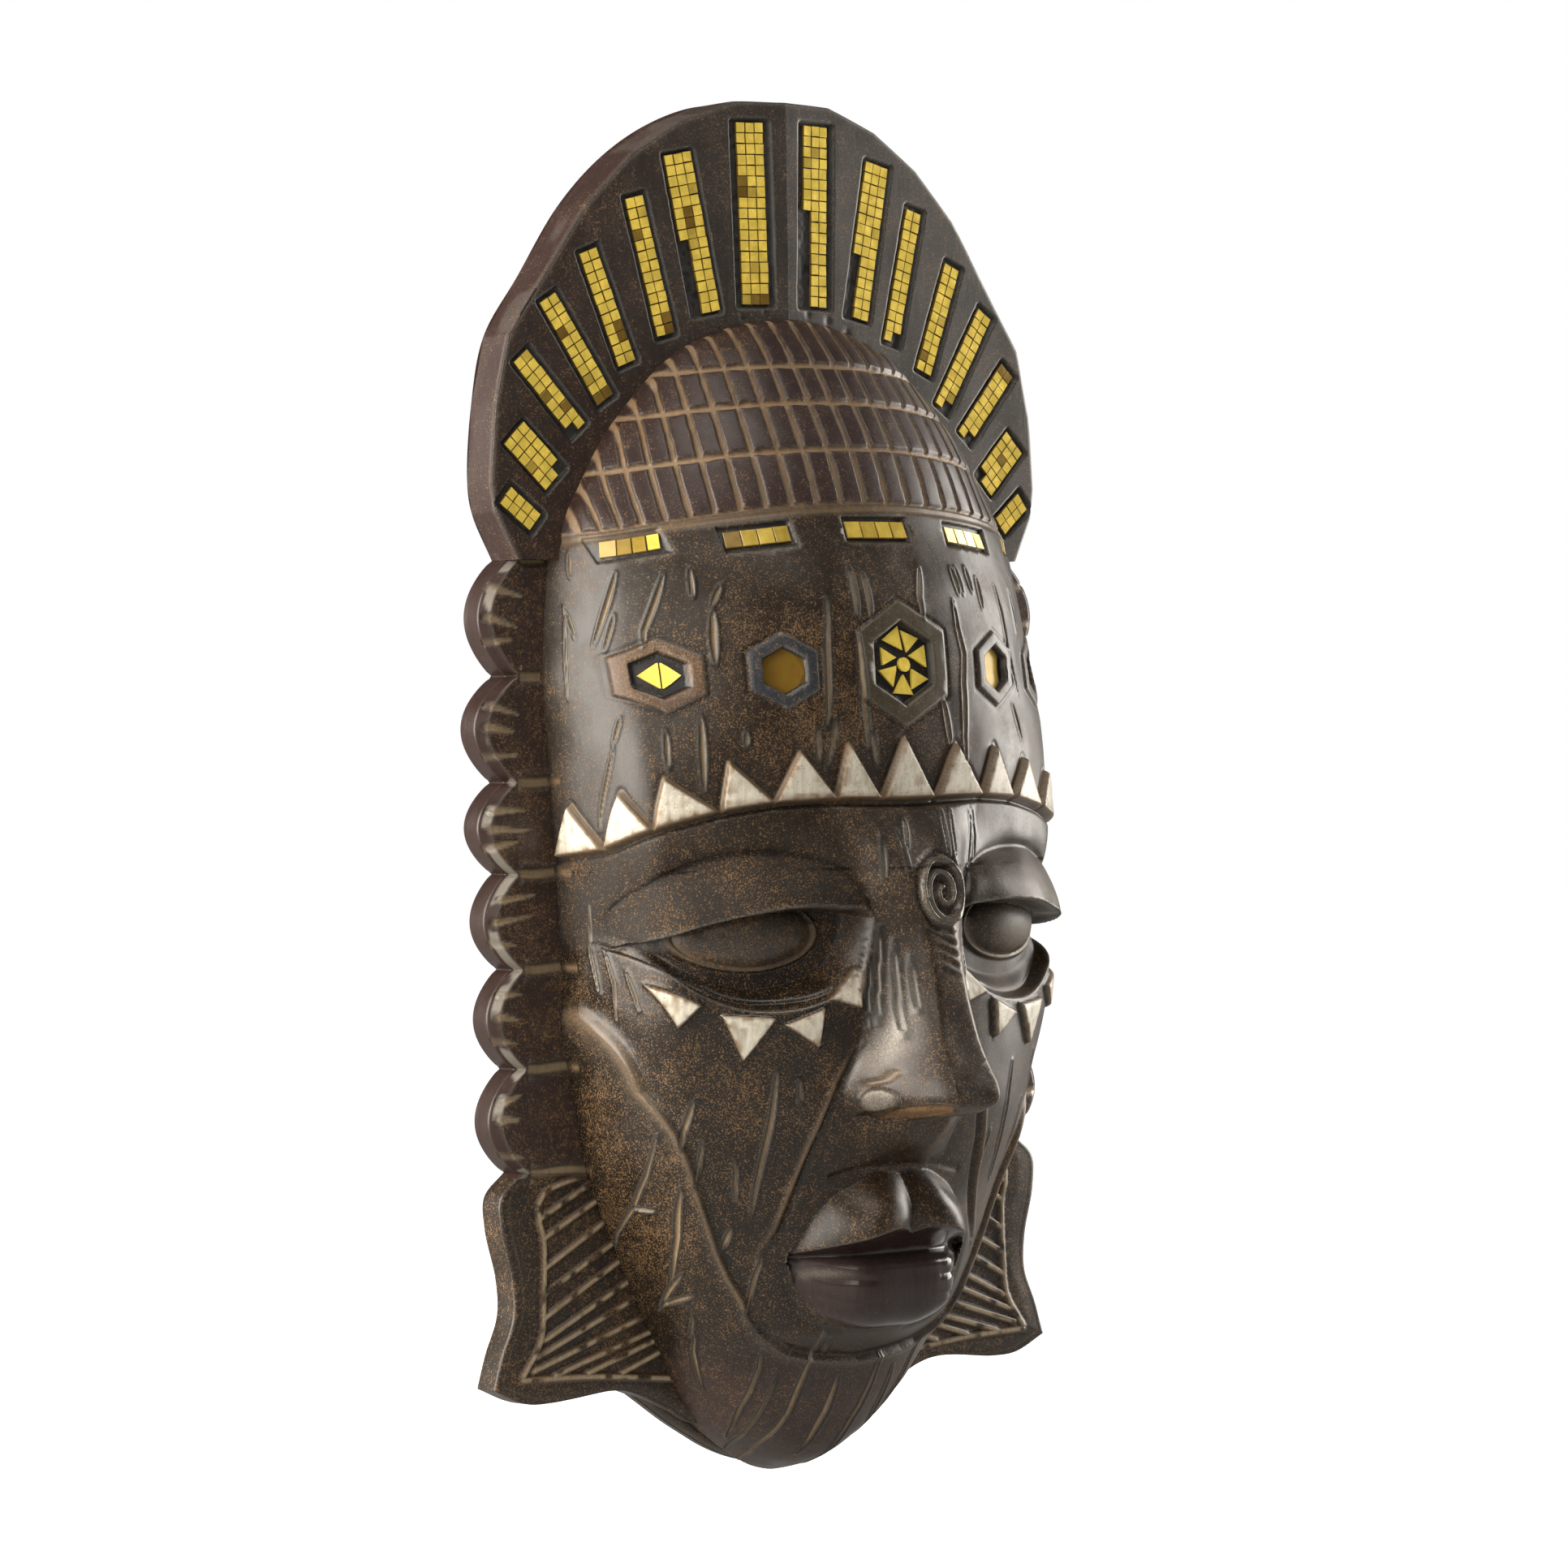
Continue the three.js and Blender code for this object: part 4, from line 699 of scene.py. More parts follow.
# Triangles under the eyes. The one beside the nose is flat, on the plane through its corners
def carve_eye_triangles(g):
    X, H = g.x, g.h
    worn = 0.55 * ease(0.5, 0.75, g.noise(2.4, 12))
    for triangle, side in itertools.product(EYE_TRIANGLES, (-1, 1)):
        corners = mirrored(triangle, side)
        d = g.inside(corners)
        on = ease(-0.8, 0.8, d) * g.front
        if triangle is EYE_TRIANGLES[-1]:
            known = [float(g.t[int(np.argmin(np.hypot(X - a, H - b)))]) for a, b in corners]
            level = np.linalg.solve([(1.0, a, b) for a, b in corners], known)
            g.push += on * np.clip(level[0] + level[1] * X + level[2] * H + 2.0 - g.t, -4, 8)
        else:
            g.lift += 3.0 * on
        g.coat(ease(-0.2, 0.9, d), "cream")
        g.coat(ease(-0.2, 0.5, d) * (0.8 * bump_at(d, 0.2, 0.8) + worn), "stain")
        # painted shade round the foot of each triangle
        g.coat(0.6 * bump_at(d, -1.4, 1.2), "black")
        g.coat(on, tan=0.12)


def carve_jaw_band(g):
    wide, low, high = 150, -20, JAW[-1][1]
    band = JAW + [(wide, high), (wide, low), (-wide, low), (-wide, high)] + mirrored(JAW[::-1], -1)
    d = inside_by(g.x, g.h, band)
    fade_up = 1 - ease(240, high, g.h)
    g.lift += 2.4 * (ease(-0.6, 0.7, d) * fade_up)
    g.lift += 0.5 * bump_at(d, 1.1, 1.4) * fade_up
    g.lift -= 0.7 * bump_at(d, -1.5, 1.3) * fade_up
    g.coat(0.4 * bump_at(d, 0.8, 0.9) * fade_up * (g.h > 95), "tan")
    # painted shadow beside the band on the cheek's side, and a painted highlight on its crest
    g.coat(0.45 * bump_at(d, -2.2, 1.8) * fade_up, "black")
    g.coat(bump_at(d, 1.5, 2.0) * fade_up, silver=0.1)


# Grooves of the cap: rings, and lines that lean in towards its top
def carve_cap(g):
    X, H = g.x, g.h
    c = H + CAP_BEND * X * X
    cap = ease(488.5, 491.5, c)
    nearest = np.full(X.size, 99.0)
    for ring in CAP_RINGS:
        nearest = np.minimum(nearest, np.abs(c - ring))
    widened = np.clip(1 / np.sqrt(1 - np.minimum(g.ax / 150, 0.95) ** 2), 1, 2.2)
    for k in range(-12, 12):
        at = CAP_HALF * math.sin(k * CAP_STEP - 0.018)
        rim = math.sqrt(max(1 - (at / CAP_HALF) ** 2, 0))
        foot = CAP_RINGS[0] - CAP_BEND * at * at
        head = foot + (CAP_TOP - foot) * max(rim, 0.05) * 0.97
        s = np.clip((H - foot) / (head - foot), 0, 1.3)
        line = at * (1 - 0.16 * s * s * rim)
        nearest = np.minimum(nearest, np.where(c > 489, np.abs(X - line) * widened, 99))
    wander = (g.noise(5.0, 21) - 0.5) * 0.9
    groove = (1 - ease(0.7, 1.9, nearest + wander)) * cap
    rim_room = ease(1.5, 6.0, g.edge_distance)
    g.lift += cap * (0.35 * (1 - np.exp(-np.maximum(nearest - 1, 0) / 2.0))) - 1.7 * groove * rim_room
    g.coat(cap, "cap", tan=0.14)
    g.coat(0.95 * groove ** 2, "tan")
    g.coat(groove, tan=0.5)
    g.coat(cap * (1 - groove), gloss=0.32)
    g.coat(groove, gloss=0.2)
    ring_line = bump_at(c, 487.5, 1.8)
    g.lift -= 0.8 * ring_line
    g.coat(0.5 * ring_line, "tan")


def carve_curl(g):
    cx, ch, reach = CURL
    r = np.hypot(g.x - cx, (g.h - ch) / CURL_STRETCH)
    turn = np.arctan2((g.h - ch) / CURL_STRETCH, g.x - cx) / (2 * np.pi)
    arm = np.abs(r - reach + 1.2)
    for n in range(3):
        target = 2.2 + 6.0 * (turn + n - 0.35)
        arm = np.where((target > 1.5) & (target < reach), np.minimum(arm, np.abs(r - target)), arm)
    on = (r < reach + 3) & g.front
    ridge = np.where(on, 1 - ease(0.4, 2.1, arm), 0)
    between = np.where(on, 1 - ridge, 0)
    g.lift += 3.0 * ridge - 0.8 * between
    # painted highlight on the spiral's ridge, painted shade between its turns
    g.coat(ridge, silver=0.8, gloss=0.9)
    g.coat(0.5 * between * (r < reach - 1), "black")


# Scratches, in arc length over the head, with painted shade along their edges and a painted highlight on one
# lip
def carve_scratches(g):
    x, h, arc = (values.reshape(g.shape) for values in (g.x, g.h, g.arc))
    for line, wide in SCRATCHES:
        rows = [int(np.argmin(np.abs(h[:, 0] - ph))) for _, ph in line]
        bent = [(float(np.interp(px, x[row], arc[row])), ph) for (px, ph), row in zip(line, rows)]
        d, place, side = line_near(g.arc, g.h, bent)
        taper = 0.38 * wide * fading(place, least=0.05)
        inside = 1 - ease(taper * 0.5, taper * 1.25, d)
        g.lift += g.front * (-1.1 * inside + 0.5 * bump_at(d, taper * 1.6 + 0.3, 0.8))
        tan, rib = (0.9, 0.3) if wide > 1.5 else (0.3, 0.0)
        g.coat(tan * inside * g.front, "tan")
        g.coat(rib * inside * g.front, "rib")
        # painted shade along the groove's edges, and a painted highlight on the lip of one side
        beside = bump_at(d, taper * 1.4 + 0.4, 0.8) * g.front
        g.coat(0.8 * beside, "black")
        g.coat(beside, tan=0.0)
        g.coat(bump_at(d, taper * 1.5 + 0.4, 0.6) * (side < 0) * g.front, silver=0.12)
        g.coat(inside, gloss=0.3)


# Folds beside the nose and round the mouth, darkened in their hollows as painted shade
def carve_folds(g):
    for side in (-1, 1):
        d, place, way = g.line(mirrored(NOSE_FOLD, side), 14)
        outer = way * side > 0
        fade = fading(place)
        g.lift += fade * (-2.0 * bump_at(d, 0, 1.9) + 1.7 * bump_at(d, 3.6, 1.9) * outer)
        g.coat(0.4 * fade * bump_at(d, 3.4, 1.4) * outer, "tan")
        g.coat(0.6 * fade * bump_at(d, 0, 2.0), "black")
        d, place, _ = g.line(mirrored(MOUTH_FOLD, side), 12)
        fade = fading(place)
        g.lift -= 1.3 * fade * bump_at(d, 0, 2.2)
        g.coat(0.55 * fade * bump_at(d, 0, 2.0), "black")
        g.lift -= 0.8 * bump_at(g.line(mirrored(LIP_CREASE, side), 12)[0], 0, 2.0)
    for side, fold in itertools.product((-1, 1), CORNER_FOLDS):
        d, place, _ = g.line(mirrored(fold, side))
        g.lift -= 0.8 * fading(place) * bump_at(d, 0, 1.5) * g.front


def carve_lips(g):
    H, AX = g.h, g.ax
    ax = np.minimum(AX, MOUTH_REACH)
    lips = ease(0, 1.2, along(LIP_EDGE, ax) - H) * ease(0, 2.0, H - along(LIP_LOW, ax)) * (AX < MOUTH_HALF)
    g.coat(lips, "lip", tan=-0.25, gloss=0.9)
    g.kept = np.maximum(g.kept, 0.7 * lips)
    # painted highlight on the lower lip near its corners
    g.coat(bump_at(H, 111, 2.2) * bump_at(AX, 43, 9) * lips, silver=0.45)
    # painted shade in the parting of the lips
    g.coat(0.55 * bump_at(H, PARTING_H - 0.3, 1.1) * (AX < 55), "black")
    upper = ease(0, 2, along(LIP_TOP, ax) - H) * (H > PARTING_H) * (AX < MOUTH_HALF) * (1 - lips)
    g.coat(upper, gloss=0.5)


# Eyeballs and lids, with painted shade under the lid's edge, in its crease, along the socket and in the inner
# corner. The far eye has painted shade on its ball and in its socket, and painted highlights on its rim and
# lid
def carve_eyes(g):
    X, H, AX = g.x, g.h, g.ax
    far = X > 0
    ex, eh, rx, rh = EYE
    out = np.hypot((AX - ex) / rx, (H - eh) / rh)
    above_lid = along(LID, AX) - H
    ball = (1 - ease(0.92, 1.0, out)) * ease(0.0, 1.0, above_lid)
    g.coat(ball, "grey", tan=0.4, gloss=np.where(far, 0.15, 0.6))
    # painted shade on the far eyeball
    g.coat(0.45 * ball * far, "black")
    # painted highlight on the far lid's outer end
    g.coat(bump_at(X, 105, 26) * bump_at(H, 300, 14) * g.front, silver=0.35)
    rim_line = bump_at(out, 1.0, 0.055) * (H < eh + 4)
    g.coat(0.6 * rim_line, "tan")
    # painted highlight on the far eye's lower rim
    g.coat(rim_line * far, silver=0.9)
    above_socket = H - along(SOCKET, AX)
    pit = ease(0, 3, above_socket) * (1 - ease(1.0, 1.05, 2 - out)) * ease(0, 2, above_lid)
    pit = pit * (AX > 34) * (AX < 126)
    # painted shade in the socket under the eyeball, stronger on the far eye
    g.coat(np.where(far, 0.6, 0.15) * pit, "black")
    g.coat(pit * far, gloss=0.1)
    # painted shade in the inner corner, under the lid's edge, in the crease and along the socket
    g.coat(0.55 * bump_at(AX, 31, 4) * ease(263, 268, H) * ease(293, 289, H), "black")
    g.coat(0.8 * (bump_at(above_lid, 0.5, 1.1) * (AX > 30) * (AX < 129)), "black")
    crease = bump_at(along(CREASE, AX) - H, -0.5, 1.6) * (AX > 30) * (AX < 132)
    for side in (-1, 1):
        crease = np.maximum(crease, bump_at(g.line(mirrored(LID_END, side))[0], 0, 1.3) * g.front)
    g.lift -= 1.0 * crease
    g.coat(0.7 * crease, "black")
    g.coat(0.4 * (bump_at(above_socket, 0.0, 2.4) * (AX > 31) * (AX < 132)), "black")


# Ridge of the nose, wings and nostrils, with painted highlights on the ridge and wings, painted sheen on its
# sides and painted shadow under it
def carve_nose(g):
    X, H, AX = g.x, g.h, g.ax
    ridge = bump_at(X - along(NOSE_TOP, H), 1.0, 1.8) * ease(186, 200, H) * (1 - ease(280, 300, H))
    # painted highlight along the ridge
    g.coat(ridge, silver=0.75)
    wing = (1 - ease(0.75, 1.1, np.hypot((AX - 32) / 4.6, (H - 197.5) / 5.8))) * g.front
    g.lift += 1.8 * wing
    # painted highlight on the wing
    g.coat(wing, silver=0.6)
    for side in (-1, 1):
        d, place, _ = g.line(mirrored(NOSE_SHEEN, side))
        g.coat(bump_at(d, 0, 5.5) * fading(place, 0.03) * g.front, silver=0.55, gloss=0.75)
        notch = bump_at(g.line(mirrored(WING_NOTCH, side))[0], 0, 1.4) * g.front
        g.lift -= 1.2 * notch
        g.coat(0.5 * notch, "tan")
    nostril = (1 - ease(0.7, 1.1, np.hypot((AX - 19) / 9.5, (H - 190.5) / 5.0))) * g.front
    g.lift -= 2.0 * nostril
    g.coat(nostril, tan=0.9, gloss=0.2)
    under = bump_at(H, mix(185.0, 189.0, ease(22, 34, AX)), 1.5) * (1 - ease(31, 36, AX)) * g.front
    g.lift -= 1.6 * under
    # painted shadow under the nose
    g.coat(0.9 * under, "black")


# Wrinkles on the bridge, tool marks on the steep walls, ends of the panels' spokes with painted shadow under
# them, painted shadow where the plate meets the wall, hand-made unevenness
def carve_tool_marks(g):
    X, H, T, W = g.x, g.h, g.t, g.wall
    bridge = bump_at(X, 4, 7) * bump_at(H, 270, 11) * g.front
    g.lift += bridge * 0.7 * np.sin((H + 0.35 * X + 7 * g.noise(12.0, 31)) * 2 * np.pi / 6.5)
    raster = (ease(134, 138.5, g.ax) * bump_at(H, 280, 30)) * ease(12, 30, T)
    g.lift += 0.25 * raster * np.sin(H * 2 * np.pi / 2.6)
    g.coat(raster, tan=0.7)
    g.lift += 0.25 * (W * bump_at(H, 225, 40)) * np.sin((H - 0.5 * T) * 2 * np.pi / 2.4)
    for _, spoke_h in NOTCHES:
        up = bump_at(H, spoke_h, 1.6) * (T < 30) * W
        g.lift -= 1.0 * up
        g.coat(0.8 * up, "tan")
        # painted shadow under each spoke's end
        g.coat(0.4 * bump_at(H, spoke_h - 3.0, 1.2) * (T < 28) * W, "black")
    # painted shadow where the plate meets the head's wall
    g.coat(0.5 * ((T > 13) & (T < 19.5) & W), "black")
    g.lift += 0.9 * (g.noise(38.0, 41) - 0.5) + 0.35 * (g.noise(11.0, 42) - 0.5)
    g.lift *= ease(8, 18, T + 40.0 * g.front)


def build_head():
    x, wall_t, on_wall, arc, edge_x, row_h = head_grid()
    h = np.repeat(row_h[:, None], HEAD_COLUMNS, axis=1)
    distance = np.abs(inside_by(x.ravel(), h.ravel(), face_outline))
    full = face_depth(x.ravel(), h.ravel()) * edge_rounding(distance, h.ravel())
    rounding = edge_rounding(0.0, row_h)
    scale = face_depth(edge_x, row_h) * rounding / np.maximum(bare_head(edge_x, row_h) * rounding, 1e-6)
    g = Relief(x, h, np.where(on_wall, wall_t * scale[:, None], full.reshape(x.shape)), "umber")
    g.arc, g.wall, g.front, g.edge_distance = arc.ravel(), on_wall.ravel(), ~on_wall.ravel(), distance
    for carve in (tone_head, carve_recesses, carve_teeth, carve_eye_triangles, carve_jaw_band, carve_cap,
                  carve_curl, carve_scratches, carve_folds, carve_lips, carve_eyes, carve_nose,
                  carve_tool_marks):
        carve(g)
    moved = g.carved()
    moved[..., 1] = np.minimum(moved[..., 1], 0.0)
    normals = grid_normals(moved)
    # painted highlights on raised edges and painted shade in hollows
    dark = g.light_edges_and_shade_hollows(moved, normals, 0.35)
    # painted shade: wider hollows darkened further
    g.coat(0.3 * ease(0.2, 1.4, -standing_out(moved, normals, 14)) * dark, "black")
    split = HEAD_ROWS // 2
    for name, rows in (("head_lower", slice(0, split + 3)), ("head_upper", slice(split, HEAD_ROWS))):
        obj = grid_object(name, moved[rows], g.layers(rows), HEAD_MOST)
        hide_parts("mask_body")
        finish_piece(obj, MATERIALS["patina"])


# Depth of the roof of the crown
def roof_depth(x):
    return ROOF_T - ROOF_FALL * np.abs(x) / ROOF_HALF


# Piece of the plate: a ruled grid from its outline to a line inside the face's outline, with close columns
# at its edge, and its side wall. Its depth follows from the way inward, but for the crown's roof
def build_plate(name, side, outer, inner, columns, depth, carve, most):
    length = np.maximum(np.hypot(*(inner - outer).T), 0.01)[:, None]
    near = EDGE_STEPS * np.minimum(1, 0.6 * length / EDGE_STEPS[-1]) / length
    shares = np.linspace(0, 1, columns)[1:]
    shares = np.concatenate([near, near[:, -1:] + (1 - near[:, -1:]) * shares], axis=1)
    x, h = (mix(outer[:, k:k + 1], inner[:, k:k + 1], shares) for k in (0, 1))
    x = x * side
    inward = shares * length
    t = depth(inward) if depth else roof_depth(x)
    wall_t = t[:, :1] * np.linspace(0, 1, PLATE_WALL_STEPS, endpoint=False)
    x, h = (np.hstack([np.repeat(v[:, :1], PLATE_WALL_STEPS, axis=1), v]) for v in (x, h))
    inward = np.hstack([np.full_like(wall_t, -1.0), inward])
    g = Relief(x, h, np.hstack([wall_t, t]), "graphite")
    flip = g.normals[..., 1][inward > 8].mean() > 0
    if flip:
        g.normals = -g.normals
    g.inward = inward.ravel()
    g.wall = g.inward < 0
    g.front = ~g.wall
    carve(g)
    g.lift *= ease(0.0, 3.0, g.t)
    moved = g.carved()
    moved[:, 0, 1] = 0.0
    # painted highlights on raised edges and painted shade in hollows
    g.light_edges_and_shade_hollows(moved, grid_normals(moved) * (-1 if flip else 1), 0.25)
    obj = grid_object(name + ("_right" if side > 0 else "_left"), moved, g.layers(), most, flip)
    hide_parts("mask_body")
    finish_piece(obj, MATERIALS["patina"])


def carve_crown(g):
    X, H, inward, front, wall = g.x, g.h, g.inward, g.front, g.wall
    g.coat(front, tan=0.22, gloss=0.28)
    g.coat(0.6 * bump_at(X, -130, 70) * front, "side")
    rough = g.noise(2.3, 51) - 0.5
    ragged = 0.35 * (g.noise(6.0, 52) - 0.5)
    spots = ease(0.55, 0.8, g.noise(2.6, 53))
    for (bx, bh, tilt, long, wide, *_), side in itertools.product(BARS, (-1, 1)):
        d = g.inside(tilted_box(side * bx, bh, long - 3, wide - 3, tilt if side > 0 else 180 - tilt), 6) + 1.5
        d = np.where(d < -900, d, d + ragged)
        on = ease(-0.7, 0.9, d) * front
        g.push -= on * (2.5 + 0.7 * rough)
        g.coat(ease(-1.3, -0.2, d) * front, "grout", gloss=0.1)
        g.coat(0.8 * on * spots, "black")
        g.coat(on, tan=0.0)
        # painted highlight on one edge of the right bars' recesses, painted shade on the left bars' edges
        if side > 0:
            g.coat(bump_at(d, -0.7, 0.5) * (X < bx + 0.25 * (H - bh)) * front, silver=0.6)
        else:
            g.coat(0.5 * bump_at(d, -0.8, 0.8) * front, "black")
    g.lift -= 0.7 * bump_at(inward, 0.0, 0.7) * front
    # painted highlight along the crown's front rim
    g.coat(bump_at(inward, 1.0, 1.2) * front, silver=0.35)
    g.coat(0.9 * wall, "side")
    g.coat(wall, tan=0.08, gloss=0.15)
    worn = ease(0.5, 0.75, noise(g.flat * (1, 1, 0.4), 14.0, 54)) * wall
    g.coat(worn * ease(2, 8, g.t), silver=0.2)
    g.lift += 0.5 * (g.noise(24.0, 55) - 0.5) * np.where(wall, 1.6, 1.0)
    # nicks along the cap's rim, each painted dark as its shade
    for k in [*range(-10, 0), *range(1, 11)]:
        at = CAP_HALF * math.sin(k * CAP_STEP)
        rim_h = CAP_TOP - 0.0053 * at * at - 2.3e-7 * at ** 4
        nick = bump_at(np.hypot(X - at * 0.95, H - rim_h - 4.0), 0, 2.2) * front
        g.push -= 0.7 * nick
        g.coat(0.6 * nick, "black")


# Side panels and fans
def carve_panels(g):
    H, inward, front, wall = g.h, g.inward, g.front, g.wall
    fan = H < 160
    g.coat(0.8 * front * ~fan, "plum")
    g.coat(0.5 * front * fan, "umber")
    g.coat(front, tan=0.36)
    g.coat(0.85 * wall * ~fan, "side")
    g.coat(wall * ~fan, tan=-0.2)
    g.coat(1.0 * wall * fan, "umber", tan=0.3)
    # spokes from the notches to the face
    for nx, nh in NOTCHES:
        d = np.abs(H - nh - 0.4 * np.sin(g.ax * 0.2))
        reach = front * (g.ax < nx - 5)
        cut = (1 - ease(1.2, 2.8, d)) * reach
        g.push -= 2.2 * cut
        g.lift += 0.8 * bump_at(d, 4.4, 1.6) * reach
        g.coat(0.85 * cut, "tan")
        g.coat(0.55 * cut, "rib")
        g.coat(cut, tan=0.3)
        # painted shade beside each spoke's groove
        g.coat(0.7 * bump_at(d, 3.0, 0.9) * reach, "black")
    # leaf-shaped cuts from the rim of each bulge
    rng = random.Random(7)
    for (_, h0), (_, h1), bulge in zip(NOTCHES[:-1], NOTCHES[1:], BULGES):
        for side, k in itertools.product((-1, 1), range(3)):
            start_h = mix(h0, h1, 0.2 + 0.25 * k + rng.uniform(0, 0.12))
            start_x = bulge - rng.uniform(1.5, 4.0) - 9 * abs(0.45 - 0.25 * k)
            end_x = start_x - rng.uniform(10, 22)
            leaf = [(side * start_x, start_h), (side * end_x, start_h + rng.uniform(-5, 3))]
            d, place, _ = g.line(leaf)
            half_wide = mix(2.7, 0.6, place) * rng.uniform(0.75, 1.0)
            cut = (1 - ease(0.6, 1.1, d / half_wide)) * front
            g.push -= 1.3 * cut
            # painted shade along the cut's edge
            g.coat(0.6 * bump_at(d, half_wide + 0.4, 0.6) * front, "black")
            g.coat(0.9 * cut, "tan")
            g.coat(0.5 * cut, "rib")
    # rim of the bulges, with painted reflections in patches and a painted highlight along its inner edge
    bevel = front * ~fan * (1 - ease(4.2, 5.6, inward))
    g.coat(0.8 * bevel, "side")
    g.coat(bevel, tan=-0.2, gloss=0.5)
    # painted reflections: light silver and cream patches on the bevel
    patch = ease(0.47, 0.55, g.noise(13.0, 61)) * bevel
    patch *= ease(1.0, 2.0, inward) * (1 - ease(4.0, 5.0, inward))
    g.coat(patch, silver=0.95)
    g.coat(0.32 * patch, "cream")
    g.coat(bump_at(inward, 5.0, 0.7) * front, silver=0.2)
    # ribs of the fans
    inside = fan * front
    nearest = np.full(H.size, 99.0)
    for line in FAN_RIBS + [smooth_curve(FAN_LINE, 24), smooth_curve(FAN_FOOT_LINE, 24)]:
        nearest = np.minimum(nearest, line_near(g.ax, H, line)[0])
    g.push += 1.7 * (np.sqrt(np.clip(1 - (nearest / 2.1) ** 2, 0, 1)) * inside)
    # painted shade round the foot of each rib
    g.coat(0.5 * bump_at(nearest, 2.8, 1.1) * inside, "black")
    g.coat(0.8 * bump_at(nearest, 1.6, 0.7) * inside, "rust")
    g.coat(0.85 * (1 - ease(0.5, 1.5, nearest)) * inside * ease(0.25, 0.5, g.noise(5.0, 63)), "rib")
    g.lift += 0.5 * (g.noise(20.0, 62) - 0.5)


def carve_chin_edge(g):
    g.coat(np.full(g.x.size, 0.6), "umber")
    g.lift += 0.4 * (g.noise(20.0, 64) - 0.5)


def panel_depth(inward):
    return PANEL_T - np.maximum(BEVEL - inward, 0)


def fan_depth(inward):
    return PANEL_T - 0.8 - np.maximum(1.2 - inward, 0) * 0.8 - 0.8 * ease(0, 12, 14 - inward)


def chin_edge_depth(inward):
    return 10.0 * np.sqrt(np.clip(1 - np.clip(1 - inward / 6.0, 0, 1) ** 2, 0.2, 1))


def build_plates(side):
    rim = mix(smooth_curve(CROWN_OUTLINE, 400), resample(CROWN_OUTLINE, 400), 0.85)
    foot = face_line(400, 463.9)
    foot = foot * (0.955, 1.0) - (0, 4.0) * np.clip((foot[:, 1:] - 480) / 100, 0, 1)
    foot[0, 0] = 0.0
    foot[-1, 1] = 464.0
    build_plate("crown", side, rim, foot, 112, None, carve_crown, 99000)
    foot = face_line(330, 160, 464.2) - (5, 0)
    build_plate("panels", side, bulge_curve(330), foot, 34, panel_depth, carve_panels, 60000)
    foot = face_line(320, 26, 162.5) - (5, 0)
    build_plate("fan", side, resample(fan_curve, 320), foot, 74, fan_depth, carve_panels, 70000)
    rim, foot = smooth_curve(CHIN_EDGE, 200), face_line(200, 0, 50) * (0.9, 1.0) + (0, 1.0)
    build_plate("chin_edge", side, rim, foot, 12, chin_edge_depth, carve_chin_edge, 20000)


# Faces between two rings of the same length
def ring_quads(low, top):
    return [(a, b, d, c) for a, b, c, d in zip(low, low[1:] + low[:1], top, top[1:] + top[:1])]


def add_faces(bm, faces):
    for face in faces:
        bm.faces.new(face)


def bmesh_object(name, bm):
    mesh = bpy.data.meshes.new(name)
    bm.to_mesh(mesh)
    bm.free()
    return link_object(name, mesh)


def circle(middle, wide, high, count):
    turn = np.linspace(0, 2 * np.pi, count, endpoint=False)
    return np.stack([wide * np.cos(turn), middle + high * np.sin(turn)], -1)


# Flat back with the hollow, and the hole for the nail
def build_back():
    half = np.vstack([smooth_curve(CROWN_OUTLINE, 120)[:-1], bulge_curve(150)[:-1], resample(fan_curve, 90),
                      face_line(24, 0, 30)[1:]])
    half[[0, -1], 0] = 0
    outline = np.vstack([half, half[1:-1][::-1] * (-1, 1)])
    wide, deep, high, middle = HOLLOW
    hole_radius, hole_deep, hole_h = HOLE
    bm = bmesh.new()
    loops, edges = [], []
    for ring in (outline, circle(middle, wide, high, 96), circle(hole_h, hole_radius, hole_radius, 24)):
        loops.append([bm.verts.new((x * MM, 0.0, (h - BASE_H) * MM)) for x, h in ring])
        edges += [bm.edges.new(pair) for pair in zip(loops[-1], loops[-1][1:] + loops[-1][:1])]
    bmesh.ops.triangle_fill(bm, use_beauty=True, use_dissolve=False, edges=edges, normal=(0, 1, 0))
    # hollow, ring by ring, with the marks of a broad gouge
    previous = loops[1]
    for k in range(1, HOLLOW_RINGS):
        s = k / HOLLOW_RINGS
        level = math.cos(s * math.pi / 2)
        depth = math.sin(s * math.pi / 2) * deep
        ring = []
        for a in np.linspace(0, 2 * np.pi, 96, endpoint=False):
            cut = 0.9 * math.sin(a * 30 + 7 * s * 9) * math.sin(s * math.pi * 9)
            ring.append(bm.verts.new((wide * level * math.cos(a) * MM, -(depth + cut * min(1, 4 * s)) * MM,
                                      (middle + high * level * math.sin(a) - BASE_H) * MM)))
        add_faces(bm, ring_quads(previous, ring))
        previous = ring
    bm.faces.new(previous)
    floor = [bm.verts.new((v.co.x, -hole_deep * MM, v.co.z)) for v in loops[2]]
    add_faces(bm, ring_quads(loops[2], floor))
    bm.faces.new(floor)
    bmesh.ops.recalc_face_normals(bm, faces=bm.faces)
    for f in bm.faces:
        f.smooth = not all(abs(v.co.y) < 1e-6 for v in f.verts)
    if sum(f.normal.y for f in bm.faces if not f.smooth) < 0:
        bmesh.ops.reverse_faces(bm, faces=bm.faces)
    obj = bmesh_object("back", bm)
    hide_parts("mask_body")
    finish_piece(obj, MATERIALS["back"])


